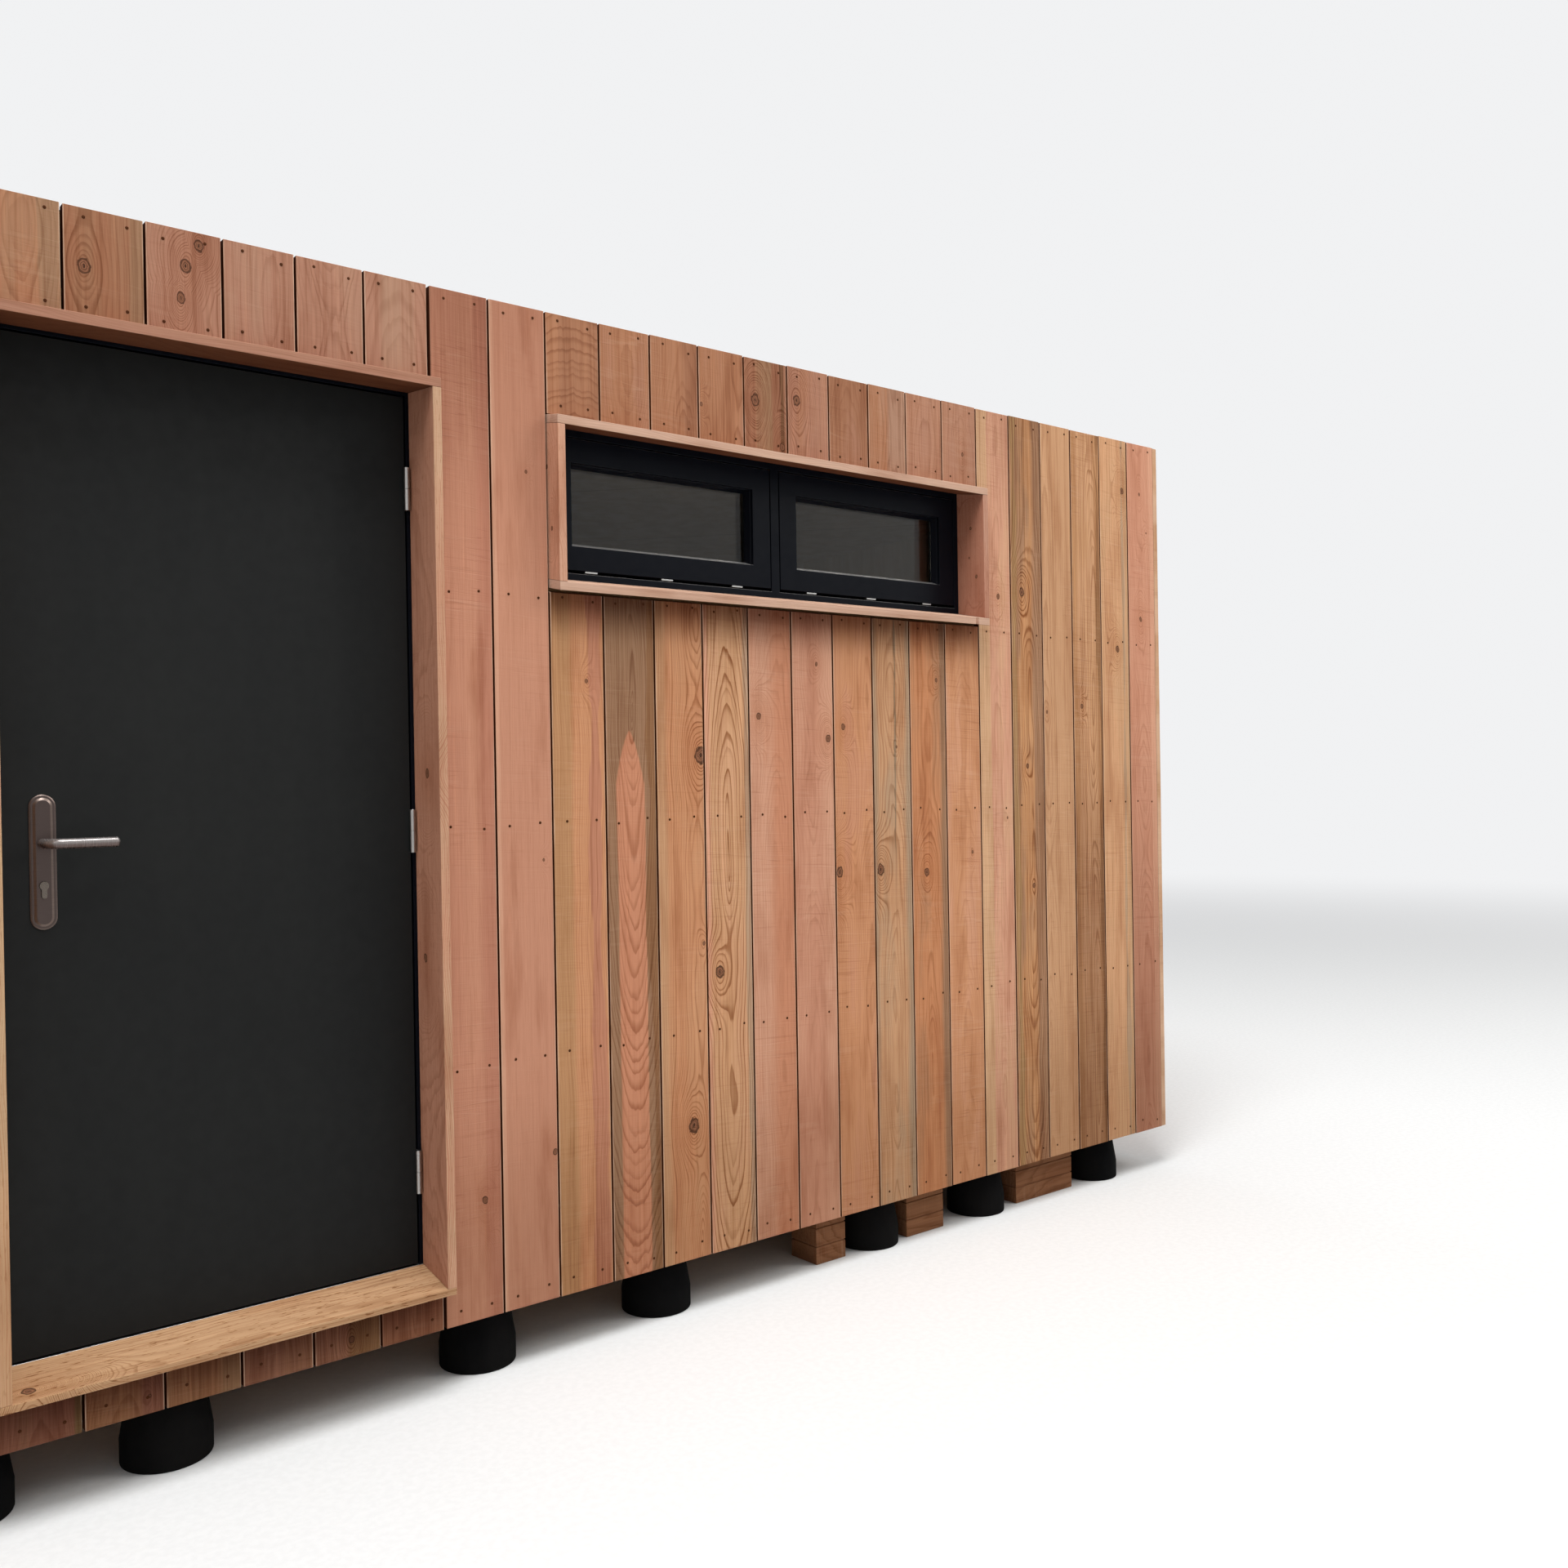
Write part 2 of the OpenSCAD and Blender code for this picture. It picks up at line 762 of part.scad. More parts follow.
// One tier of a handle plate: a slab with round ends whose back lies on the given y and whose
// sides slope from radius r0 at the back to r1 in front
module plate_tier(y, h, r0, r1) {
    half = plate_h / 2 - plate_w / 2;
    for (z = [-half, half])
        translate([0, y, z])
            rotate([90, 0, 0])
                cylinder(r1 = r0, r2 = r1, h = h);
    translate([0, 0, -half])
        linear_extrude(2 * half)
            polygon([[-r1, y - h], [r1, y - h], [r0, y], [-r0, y]]);
}

// A handle plate whose back lies on y = 0 and whose face looks along -Y: a straight edge, a
// sloped edge, a flat rim, and a second slope up to the raised middle
module handle_plate() {
    r = plate_w / 2;
    flat = plate_t * 0.57;
    straight = 2;
    translate([handle_x, 0, plate_z])
        difference() {
            union() {
                plate_tier(0, straight, r, r);
                plate_tier(-straight, flat - straight, r, r - plate_rim * 0.36);
                plate_tier(-flat, plate_t - flat, r - plate_rim * 0.56, r - plate_rim);
            }
            translate([0, over, handle_z - plate_z])
                rotate([90, 0, 0])
                    cylinder(r = neck_r + fit, h = plate_t + 2 * over);
            along_y(-plate_t - over, over)
                translate([0, cylinder_z - plate_z])
                    cylinder_outline(seat);
        }
}

module handle_plates() {
    color([0.70, 0.70, 0.70]) {
        translate([0, leaf_y, 0])
            handle_plate();
        translate([0, leaf_y + leaf_t, 0])
            mirror([0, 1, 0])
                handle_plate();
    }
}

module lock_cylinder() {
    reach = plate_t + cylinder_proud;
    color([0.75, 0.73, 0.68])
        along_y(leaf_y - reach, leaf_y + leaf_t + reach)
            translate([handle_x, cylinder_z])
                cylinder_outline(0);
}

// A lever whose neck runs along -Y from the leaf's middle, bends and becomes a bar with a
// softened end
module lever() {
    bar = lever_out + plate_t;
    soft = 4;
    $fn = 32;
    translate([handle_x, 0, handle_z]) {
        rotate([90, 0, 0])
            cylinder(r = neck_r, h = leaf_t / 2 + bar - lever_bend);
        translate([lever_bend, -leaf_t / 2 - bar + lever_bend, 0])
            rotate([0, 0, 180])
                rotate_extrude(angle = 90)
                    translate([lever_bend, 0])
                        circle(neck_r);
        translate([lever_bend, -leaf_t / 2 - bar, 0])
            rotate([0, 90, 0]) {
                cylinder(r = neck_r, h = lever_len - lever_bend - soft);
                translate([0, 0, lever_len - lever_bend - soft])
                    cylinder(r1 = neck_r, r2 = neck_r - soft, h = soft);
            }
    }
}

module levers() {
    color([0.72, 0.72, 0.72])
        translate([0, leaf_y + leaf_t / 2, 0]) {
            lever();
            mirror([0, 1, 0])
                lever();
        }
}

// The window frame's face with the two openings grown or shrunk by a margin
module window_frame_face(margin) {
    difference() {
        translate([window_x0, window_z0])
            square([window_w, window_z1 - window_z0]);
        for (x = sash_xs)
            translate([x - margin, sash_z0 - margin])
                square([sash_w + 2 * margin, sash_z1 - sash_z0 + 2 * margin]);
    }
}

module window_frame() {
    foot = sash_foot_gap - sash_gap;
    color([0.06, 0.07, 0.09])
        difference() {
            union() {
                along_y(frame_y, frame_y + sash_d)
                    window_frame_face(sash_gap);
                along_y(frame_y + sash_d, frame_y + window_frame_d)
                    window_frame_face(-sash_lap);
            }
            for (x = sash_xs)
                block([x - sash_gap, frame_y - over, sash_z0 - sash_gap - foot],
                      [x + sash_w + sash_gap, frame_y + sash_d, sash_z0]);
        }
}

// A ring of the sash's outline, a width wide
module sash_ring(inset, width) {
    difference() {
        translate([inset, inset])
            square([sash_w - 2 * inset, sash_z1 - sash_z0 - 2 * inset]);
        translate([inset + width, inset + width])
            square([sash_w - 2 * (inset + width), sash_z1 - sash_z0 - 2 * (inset + width)]);
    }
}

// The bead round the glass: its face slopes from the sash's rails back to the glass
module sash_bead() {
    w = sash_w - 2 * sash_rail;
    h = sash_z1 - sash_z0 - 2 * sash_rail;
    translate([sash_rail, 0, sash_rail])
        difference() {
            along_y(bead_in, glass_in)
                square([w, h]);
            hull() {
                along_y(bead_in - over, bead_in)
                    translate([bead_front_w, bead_front_w])
                        square([w - 2 * bead_front_w, h - 2 * bead_front_w]);
                along_y(glass_in, glass_in + over)
                    translate([bead_w, bead_w])
                        square([w - 2 * bead_w, h - 2 * bead_w]);
            }
        }
}

module window_sashes() {
    color([0.06, 0.07, 0.09])
        for (x = sash_xs)
            translate([x, frame_y, sash_z0]) {
                along_y(0, sash_d)
                    sash_ring(0, sash_rail);
                sash_bead();
            }
}

module window_glass() {
    color([0.30, 0.33, 0.34, 0.5])
        for (x = sash_xs)
            block([x + sash_rail + seat, frame_y + glass_in, sash_z0 + sash_rail + seat],
                  [x + sash_w - sash_rail - seat, frame_y + glass_in + glass_t, sash_z1 - sash_rail - seat]);
}

// Flat clips that hang from the sashes' undersides
module sash_clips() {
    clip_d = 14;
    color([0.78, 0.78, 0.76])
        for (x = sash_xs, at = [clip_in, sash_w / 2, sash_w - clip_in])
            block([x + at - clip_w / 2, frame_y + 2, sash_z0 - clip_h],
                  [x + at + clip_w / 2, frame_y + 2 + clip_d, sash_z0]);
}

module roof_panel() {
    color([0.55, 0.52, 0.48])
        along_x(-wall_x, wall_x)
            polygon([
                [wall_y, roof_z(wall_y) - roof_t], [-wall_y, roof_z(-wall_y) - roof_t],
                [-wall_y, roof_z(-wall_y)], [wall_y, roof_z(wall_y)]
            ]);
}

module roof_membrane() {
    y0 = wall_y + kerb_t;
    y1 = -face_y + membrane_lap;
    color([0.10, 0.10, 0.10])
        along_x(-wall_x + kerb_t, wall_x - kerb_t)
            polygon([
                [y0, roof_z(y0) + fit], [y1, roof_z(y1) + fit],
                [y1, roof_z(y1) + membrane_t], [y0, roof_z(y0) + membrane_t]
            ]);
}

// A kerb between two places along Y, from the roof panel up to a level top
module kerb(x0, x1, y0, y1) {
    along_x(x0, x1)
        polygon([[y0, roof_z(y0) + fit], [y1, roof_z(y1) + fit], [y1, kerb_top_z], [y0, kerb_top_z]]);
}

module front_kerb() {
    color([0.60, 0.45, 0.30])
        kerb(-wall_x, wall_x, wall_y, wall_y + kerb_t);
}

module side_kerbs() {
    color([0.60, 0.45, 0.30])
        for (x = [-wall_x, wall_x - kerb_t])
            kerb(x, x + kerb_t, wall_y + kerb_t, -face_y);
}

module roof_trim() {
    inner_y = wall_y + kerb_t;
    inner_x = wall_x - kerb_t;
    color([0.12, 0.12, 0.12])
        difference() {
            block([-side_x, face_y + board_t, kerb_top_z - trim_flange], [side_x, -face_y, trim_top_z]);
            block([-inner_x + trim_t, inner_y + trim_t, kerb_top_z - trim_flange - over],
                  [inner_x - trim_t, -face_y + over, trim_top_z + over]);
            difference() {
                block([-side_x - over, face_y, kerb_top_z - trim_flange - over],
                      [side_x + over, -face_y + over, kerb_top_z]);
                block([-inner_x, inner_y, kerb_top_z - trim_flange - 2 * over],
                      [inner_x, -face_y + 2 * over, kerb_top_z + over]);
            }
        }
}

// A half-round bar along X with its flat side up at z = 0
module half_bar(x0, x1, r) {
    along_x(x0, x1)
        intersection() {
            circle(r);
            translate([-r, -r])
                square([2 * r, r]);
        }
}

module gutter() {
    end = side_x - 10;
    r = gutter_d / 2;
    color([0.08, 0.08, 0.08])
        translate([0, gutter_y, gutter_z])
            difference() {
                half_bar(-end, end, r);
                along_x(-end + gutter_wall, end - gutter_wall)
                    circle(r - gutter_wall);
                translate([pipe_x, 0, -gutter_d])
                    cylinder(d = pipe_d - 2 * gutter_wall, h = gutter_d);
            }
}

// A bracket that holds the gutter from below and runs back to the boards
module gutter_bracket() {
    r = gutter_d / 2 + seat;
    $fn = 36;
    difference() {
        half_bar(0, bracket_w, r + bracket_t);
        along_x(-over, bracket_w + over)
            circle(r);
    }
    block([0, -face_y - gutter_y, -gutter_d / 2], [bracket_w, -r, 0]);
}

module gutter_brackets() {
    span = 2 * (side_x - bracket_in);
    color([0.08, 0.08, 0.08])
        for (i = [0 : bracket_count - 1])
            translate([-span / 2 + i * span / (bracket_count - 1) - bracket_w / 2, gutter_y, gutter_z])
                gutter_bracket();
}

module rainwater_pipe() {
    top_z = gutter_z - gutter_d / 2 - seat;
    color([0.08, 0.08, 0.08])
        translate([pipe_x, gutter_y, 0])
            difference() {
                translate([0, 0, pipe_foot_z])
                    cylinder(d = pipe_d, h = top_z - pipe_foot_z);
                translate([0, 0, pipe_foot_z - over])
                    cylinder(d = pipe_d - 2 * gutter_wall, h = top_z - pipe_foot_z + 2 * over);
            }
}

// A clip round the pipe with an arm back to the boards and a foot against them
module pipe_clip() {
    r = pipe_d / 2 + seat;
    arm_w = 20;
    foot_w = 60;
    wall = -face_y - gutter_y;
    $fn = 32;
    difference() {
        union() {
            cylinder(r = r + bracket_t, h = bracket_w);
            block([-arm_w / 2, wall, 0], [arm_w / 2, -r, bracket_w]);
            block([-foot_w / 2, wall, 0], [foot_w / 2, wall + bracket_t, bracket_w]);
        }
        translate([0, 0, -over])
            cylinder(r = r, h = bracket_w + 2 * over);
    }
}

module pipe_clips() {
    low_z = pipe_foot_z + clip_from_end;
    high_z = gutter_z - clip_from_end;
    color([0.08, 0.08, 0.08])
        for (z = [low_z, (low_z + high_z) / 2, high_z])
            translate([pipe_x, gutter_y, z])
                pipe_clip();
}

foundation_pads();
timber_piers();
middle_bearer();
long_rims();
end_rims();
floor_joists();
floor_deck();
front_wall_panels();
front_wall_infills();
rear_wall();
side_walls();
front_battens();
rear_battens();
side_battens();
front_cladding();
rear_cladding();
left_cladding();
right_cladding();
door_jamb_linings();
door_head_lining();
door_sill();
window_jamb_linings();
window_head_lining();
window_sill();
door_frame();
door_threshold();
hinge_frame_halves();
door_leaf();
hinge_leaf_halves();
handle_plates();
lock_cylinder();
levers();
window_frame();
window_sashes();
window_glass();
sash_clips();
roof_panel();
roof_membrane();
front_kerb();
side_kerbs();
roof_trim();
gutter();
gutter_brackets();
rainwater_pipe();
pipe_clips();
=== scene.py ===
import bpy
import bmesh
import math
import random
from mathutils import Matrix, Vector


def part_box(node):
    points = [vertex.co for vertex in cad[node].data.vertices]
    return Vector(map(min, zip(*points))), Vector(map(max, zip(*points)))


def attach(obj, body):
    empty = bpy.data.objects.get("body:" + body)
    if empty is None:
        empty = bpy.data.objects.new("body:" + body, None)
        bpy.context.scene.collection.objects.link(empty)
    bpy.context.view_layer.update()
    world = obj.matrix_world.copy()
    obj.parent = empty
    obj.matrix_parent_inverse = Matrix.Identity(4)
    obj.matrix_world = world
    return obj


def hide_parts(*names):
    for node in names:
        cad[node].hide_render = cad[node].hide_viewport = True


# Looks of the garden office pod, in metres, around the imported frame
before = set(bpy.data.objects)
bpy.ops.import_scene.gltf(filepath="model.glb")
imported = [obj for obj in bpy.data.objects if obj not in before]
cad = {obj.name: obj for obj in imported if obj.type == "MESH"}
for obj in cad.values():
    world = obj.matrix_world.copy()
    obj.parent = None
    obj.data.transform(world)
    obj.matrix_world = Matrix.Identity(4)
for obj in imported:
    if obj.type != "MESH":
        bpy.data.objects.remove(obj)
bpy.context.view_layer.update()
scene = bpy.context.scene


class Graph:
    # Adds nodes to one tree; a value may be a number, a tuple or another node's output
    def __init__(self, tree):
        self.tree = tree
        self.placed = 0

    def put(self, kind, **settings):
        node = self.tree.nodes.new(kind)
        node.location = (self.placed % 12 * 190, -(self.placed // 12) * 240)    # rows of twelve nodes
        self.placed += 1
        for key, value in settings.items():
            setattr(node, key, value)
        return node

    def feed(self, socket, value):
        if isinstance(value, bpy.types.NodeSocket):
            self.tree.links.new(value, socket)
        elif socket.type == "RGBA":
            socket.default_value = (*value, 1.0)    # colours are written without their alpha
        else:
            socket.default_value = value

    def fill(self, node, *values):
        for socket, value in zip(node.inputs, values):
            self.feed(socket, value)
        return node.outputs[0]

    def named(self, node, values):
        for name, value in values.items():
            self.feed(node.inputs[name], value)
        return node

    def maths(self, operation, *values, clamp=False):
        return self.fill(self.put("ShaderNodeMath", operation=operation, use_clamp=clamp), *values)

    def times(self, first, second, clamp=False):
        return self.maths("MULTIPLY", first, second, clamp=clamp)

    def plus(self, first, second, clamp=False):
        return self.maths("ADD", first, second, clamp=clamp)

    def minus(self, first, second, clamp=False):
        return self.maths("SUBTRACT", first, second, clamp=clamp)

    def scaled(self, value, factor, added):
        return self.maths("MULTIPLY_ADD", value, factor, added)

    def swing(self, noise, amount):
        # A noise between nought and one made to swing evenly round nought
        return self.scaled(noise, amount, -amount / 2)

    def larger(self, first, second):
        return self.maths("MAXIMUM", first, second)

    def absolute(self, value):
        return self.maths("ABSOLUTE", value)

    def vector(self, operation, *values):
        node = self.put("ShaderNodeVectorMath", operation=operation)
        self.fill(node, *values)
        return node.outputs["Value" if operation == "LENGTH" else "Vector"]

    def length(self, x, y, z=0.0):
        return self.vector("LENGTH", self.joined(x, y, z))

    def parts(self, value):
        node = self.put("ShaderNodeSeparateXYZ")
        self.feed(node.inputs[0], value)
        return node.outputs

    def joined(self, x, y, z):
        return self.fill(self.put("ShaderNodeCombineXYZ"), x, y, z)

    def blend(self, mask, first, second, mode="MIX"):
        node = self.put("ShaderNodeMix", data_type="RGBA", blend_type=mode)
        for index, value in ((0, mask), (6, first), (7, second)):    # the sockets for colours
            self.feed(node.inputs[index], value)
        return node.outputs[2]

    def tinted(self, mask, color, tint):
        # Multiplies the colour by the tint where the mask is
        return self.blend(mask, color, tint, "MULTIPLY")

    def step(self, value, low, high, start=0.0, end=1.0):
        # Runs smoothly from start to end while the value goes from low to high
        node = self.put("ShaderNodeMapRange", interpolation_type="SMOOTHSTEP")
        return self.fill(node, value, low, high, start, end)

    def noise(self, place, scale=1.0, detail=2.0, rough=0.5):
        node = self.named(self.put("ShaderNodeTexNoise"), {
            "Vector": place, "Scale": scale, "Detail": detail, "Roughness": rough})
        return node.outputs["Fac"]

    def stretched(self, place, scales, shift=(0.0, 0.0, 0.0)):
        return self.vector("ADD", self.vector("MULTIPLY", place, scales), shift)

    def attribute(self, name, output="Vector"):
        return self.put("ShaderNodeAttribute", attribute_name=name).outputs[output]

    def coordinates(self, output="Object"):
        return self.put("ShaderNodeTexCoord").outputs[output]

    def use(self, group, **inputs):
        # A node of a group; its inputs are given by name
        return self.named(self.put("ShaderNodeGroup", node_tree=group), inputs).outputs

    def bump(self, height, strength, distance):
        node = self.named(self.put("ShaderNodeBump"), {
            "Strength": strength, "Distance": distance, "Height": height})
        return node.outputs["Normal"]

    def principled(self, **inputs):
        return self.named(self.put("ShaderNodeBsdfPrincipled"), {
            socketNames[name]: value for name, value in inputs.items()})

    def surface(self, **inputs):
        # The Principled shader and the output
        output = self.put("ShaderNodeOutputMaterial")
        self.feed(output.inputs["Surface"], self.principled(**inputs).outputs[0])

    def seen(self):
        # Whether a ray shows the backdrop itself: to the camera, off a shiny surface or through glass
        rays = self.put("ShaderNodeLightPath").outputs
        direct = self.plus(rays["Is Camera Ray"], rays["Is Glossy Ray"])
        return self.plus(direct, rays["Is Transmission Ray"], clamp=True)

    def mixShaders(self, mask, first, second):
        node = self.put("ShaderNodeMixShader")
        return self.fill(node, mask, first.outputs[0], second.outputs[0])


socketNames = {"color": "Base Color", "metal": "Metallic", "rough": "Roughness", "normal": "Normal",
               "shine": "Specular IOR Level", "clear": "Transmission Weight", "bend": "IOR"}


def newGroup(name, inputs, outputs):
    tree = bpy.data.node_groups.new(name, "ShaderNodeTree")
    for direction, sockets in (("INPUT", inputs), ("OUTPUT", outputs)):
        for label, kind, *value in sockets:
            socket = tree.interface.new_socket(label, in_out=direction, socket_type="NodeSocket" + kind)
            if value:
                socket.default_value = value[0]
    graph = Graph(tree)
    start = graph.put("NodeGroupInput")
    end = graph.put("NodeGroupOutput")
    return graph, start.outputs, end.inputs


def newMaterial(name):
    material = bpy.data.materials.new(name)
    material.use_nodes = True
    material.node_tree.nodes.clear()
    return material, Graph(material.node_tree)


# Scales of the timber's noises across, along and into a board
grainScales = {"wobble": (38.0, 6.0, 38.0), "fibre": (900.0, 14.0, 900.0), "streaks": (170.0, 2.2, 170.0),
               "blotch": (16.0, 2.6, 16.0), "flecks": (260.0, 34.0, 260.0)}

# Rings, fibres and slow changes of colour in a sawn board. Place is across, along and into it
g, i, o = newGroup("woodGrain", [
    ("Place", "Vector"), ("Seed", "Float", 0.0), ("Rings", "Vector"), ("Pull", "Float", 0.0),
    ("Local", "Float", 0.0), ("Spacing", "Float", 0.0045)], [
    ("Late", "Float"), ("Fibre", "Float"), ("Streaks", "Float"), ("Blotch", "Float"), ("Height", "Float")])
across, along, deep = g.parts(i["Place"])
centre, depth, lean = g.parts(i["Rings"])
shift = g.joined(g.times(i["Seed"], 3.7), g.times(i["Seed"], 5.3), i["Seed"])
slow = g.noise(g.stretched(g.joined(0.0, along, 0.0), (0.0, 1.3, 0.0), shift), detail=2.0)
slower = g.noise(g.stretched(g.joined(7.0, along, 3.0), (1.0, 1.9, 1.0), shift), detail=1.0)
x = g.plus(g.minus(across, centre), g.swing(slow, 0.05))
d = g.plus(g.scaled(lean, along, depth), g.swing(slower, 0.09))
radius = g.length(x, g.plus(d, deep))
wobble = g.noise(g.stretched(i["Place"], grainScales["wobble"], shift), detail=2.0)
radius = g.plus(g.times(radius, g.minus(1.0, i["Pull"])), i["Local"])
radius = g.plus(radius, g.swing(wobble, 0.007))
uneven = g.noise(g.joined(g.times(radius, 60.0), i["Seed"], 0.0), detail=2.0)
phase = g.plus(g.maths("DIVIDE", radius, i["Spacing"]), g.times(uneven, 3.0))
turn = g.maths("FRACT", phase)
ring = g.joined(g.maths("FLOOR", phase), i["Seed"], g.times(along, 0.7))
weight = g.noise(ring, scale=0.83, detail=1.0)
late = g.times(g.step(turn, 0.42, 0.90), g.step(turn, 0.90, 1.0, 1.0, 0.0))
fibre = g.noise(g.stretched(i["Place"], grainScales["fibre"], shift), detail=3.0, rough=0.6)
g.feed(o["Late"], g.times(late, g.step(weight, 0.3, 0.65, 0.35, 1.0)))
g.feed(o["Fibre"], fibre)
g.feed(o["Streaks"], g.noise(g.stretched(i["Place"], grainScales["streaks"], shift), detail=3.0, rough=0.55))
g.feed(o["Blotch"], g.noise(g.stretched(i["Place"], grainScales["blotch"], shift), detail=4.0, rough=0.55))
g.feed(o["Height"], g.times(fibre, 0.6))
woodGrain = g.tree

# One knot at a place in the board: its core, its dark rim, its crack, and how far it pulls the
# board's rings round itself
g, i, o = newGroup("knotMark", [("Place", "Vector"), ("Knot", "Vector")], [
    ("Core", "Float"), ("Rim", "Float"), ("Crack", "Float"), ("Turns", "Float"), ("Pull", "Float"),
    ("Distance", "Float")])
place = g.parts(i["Place"])
knotAcross, knotAlong, knotSize = g.parts(i["Knot"])
size = g.larger(knotSize, 0.0001)
x = g.maths("DIVIDE", g.minus(place[0], knotAcross), size)
z = g.maths("DIVIDE", g.minus(place[1], knotAlong), size)
ragged = g.swing(g.noise(g.stretched(i["Place"], (70.0, 70.0, 70.0), (3.0, 1.0, 5.0)), detail=3.0), 1.1)
near = g.plus(g.length(x, g.times(z, 0.8)), ragged)
wide = g.length(x, g.times(z, 0.5))
reach = g.times(wide, 0.19)
fade = g.maths("EXPONENT", g.times(g.times(reach, reach), -1.0))
split = g.length(g.scaled(x, 2.6, ragged), g.times(z, 1.1))
g.feed(o["Core"], g.step(near, 0.80, 1.05, 1.0, 0.0))
g.feed(o["Rim"], g.times(g.step(near, 0.78, 0.96), g.step(near, 1.00, 1.22, 1.0, 0.0)))
g.feed(o["Crack"], g.times(g.step(split, 0.30, 0.55, 1.0, 0.0), g.step(knotSize, 0.006, 0.0095)))
g.feed(o["Turns"], g.maths("FRACT", g.times(near, 3.4)))
g.feed(o["Pull"], g.times(fade, g.step(knotSize, 0.001, 0.008)))
g.feed(o["Distance"], g.times(wide, size))
knotMark = g.tree

# Thin lines that a saw leaves across a board: contour lines of a noise drawn out across it
g, i, o = newGroup("sawMarks", [
    ("Place", "Vector"), ("Seed", "Float", 0.0), ("Amount", "Float", 1.0)], [
    ("Light", "Float"), ("Dark", "Float"), ("Height", "Float")])
across, along, deep = g.parts(i["Place"])
shift = g.joined(i["Seed"], g.times(i["Seed"], 2.1), 0.0)
skew = g.joined(across, g.scaled(across, 0.05, along), deep)
zone = g.step(g.noise(g.stretched(i["Place"], (6.0, 2.4, 6.0), shift), detail=2.0), 0.36, 0.60)
patch = g.step(g.noise(g.stretched(skew, (14.0, 45.0, 14.0), shift), detail=1.0), 0.26, 0.50, 0.15, 1.0)
strong = g.times(g.times(zone, patch), i["Amount"])
lines = []
for acrossScale, alongScale in ((1.6, 34.0), (2.4, 90.0)):
    field = g.noise(g.stretched(skew, (acrossScale, alongScale, acrossScale), shift), detail=1.0)
    offLine = g.absolute(g.minus(field, 0.5))
    lines.append(g.times(g.step(offLine, 0.004, 0.020, 1.0, 0.0), strong))
fine = g.noise(g.stretched(skew, (7.0, 520.0, 7.0), shift), detail=2.0)
g.feed(o["Light"], lines[0])
g.feed(o["Dark"], g.larger(lines[1], g.times(g.step(fine, 0.50, 0.78), g.times(strong, 0.55))))
g.feed(o["Height"], g.minus(g.times(lines[0], 0.8), lines[1]))
sawMarks = g.tree

# A painted or moulded skin: a fine orange-peel height and a faint uneven film of dust
g, i, o = newGroup("fineCoat", [
    ("Place", "Vector"), ("Grain", "Float", 900.0), ("Dust", "Float", 0.3)], [
    ("Height", "Float"), ("Film", "Float"), ("Wear", "Float")])
cloud = g.noise(i["Place"], scale=2.2, detail=4.0, rough=0.6)
streaks = g.noise(g.stretched(i["Place"], (14.0, 14.0, 1.2)), detail=3.0)
film = g.step(g.plus(cloud, g.times(streaks, 0.5)), 0.55, 1.0)
g.feed(o["Height"], g.noise(i["Place"], scale=i["Grain"], detail=2.0))
g.feed(o["Film"], g.times(film, i["Dust"]))
g.feed(o["Wear"], g.noise(i["Place"], scale=38.0, detail=3.0))
fineCoat = g.tree

print("stage: shader groups")


# Tints of the timber. The first four rows multiply the colour beneath them, the others cover it
# The foot, edge and side tints of the cladding are painted shade, the arris tint a painted highlight with
# wear, and the darkening tint painted shadow below the sills and a darker top or foot on some boards
timberTints = {
    "blotch": (0.78, 0.69, 0.64), "paleStreak": (1.20, 1.17, 1.12), "darkStreak": (0.74, 0.63, 0.55),
    "earlyWood": (1.22, 1.20, 1.16), "lateWood": (0.46, 0.31, 0.21), "fibre": (0.68, 0.58, 0.50),
    "sawDark": (0.62, 0.47, 0.40), "roundKnot": (0.80, 0.62, 0.50), "darkening": (0.37, 0.28, 0.25),
    "fleck": (0.50, 0.34, 0.22), "footShade": (0.56, 0.52, 0.46),
    "sawLight": (0.78, 0.58, 0.42), "knotPale": (0.21, 0.090, 0.048), "knotDark": (0.090, 0.036, 0.019),
    "knotRim": (0.045, 0.018, 0.010), "knotCrack": (0.022, 0.012, 0.009), "arris": (0.70, 0.49, 0.35),
    "edgeShadeAndStain": (0.16, 0.038, 0.008), "jointSideShade": (0.055, 0.012, 0.003),
}

# Where a cladding board's look changes: arris and stain are distances from its middle, where the painted
# highlight and the painted shade with stain begin, side is the depth behind its face where the painted shade
# begins, and wallEnd is the distance from the middle of the whole front
boardEdge = {"arris": (0.0696, 0.0712), "stain": (0.0709, 0.0724), "side": (0.0007, 0.0022),
             "wallEnd": (1.960, 1.965)}
facesThatWay = (0.4, 0.6)    # how far a normal leans before a face counts as turned that way
knotNames = ("knotA", "knotB", "knotC")

# The y of the two ends of the side walls' boards; the front's and the rear's boards lie beyond them
cornerFront, cornerBack = (corner.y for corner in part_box("left_cladding"))


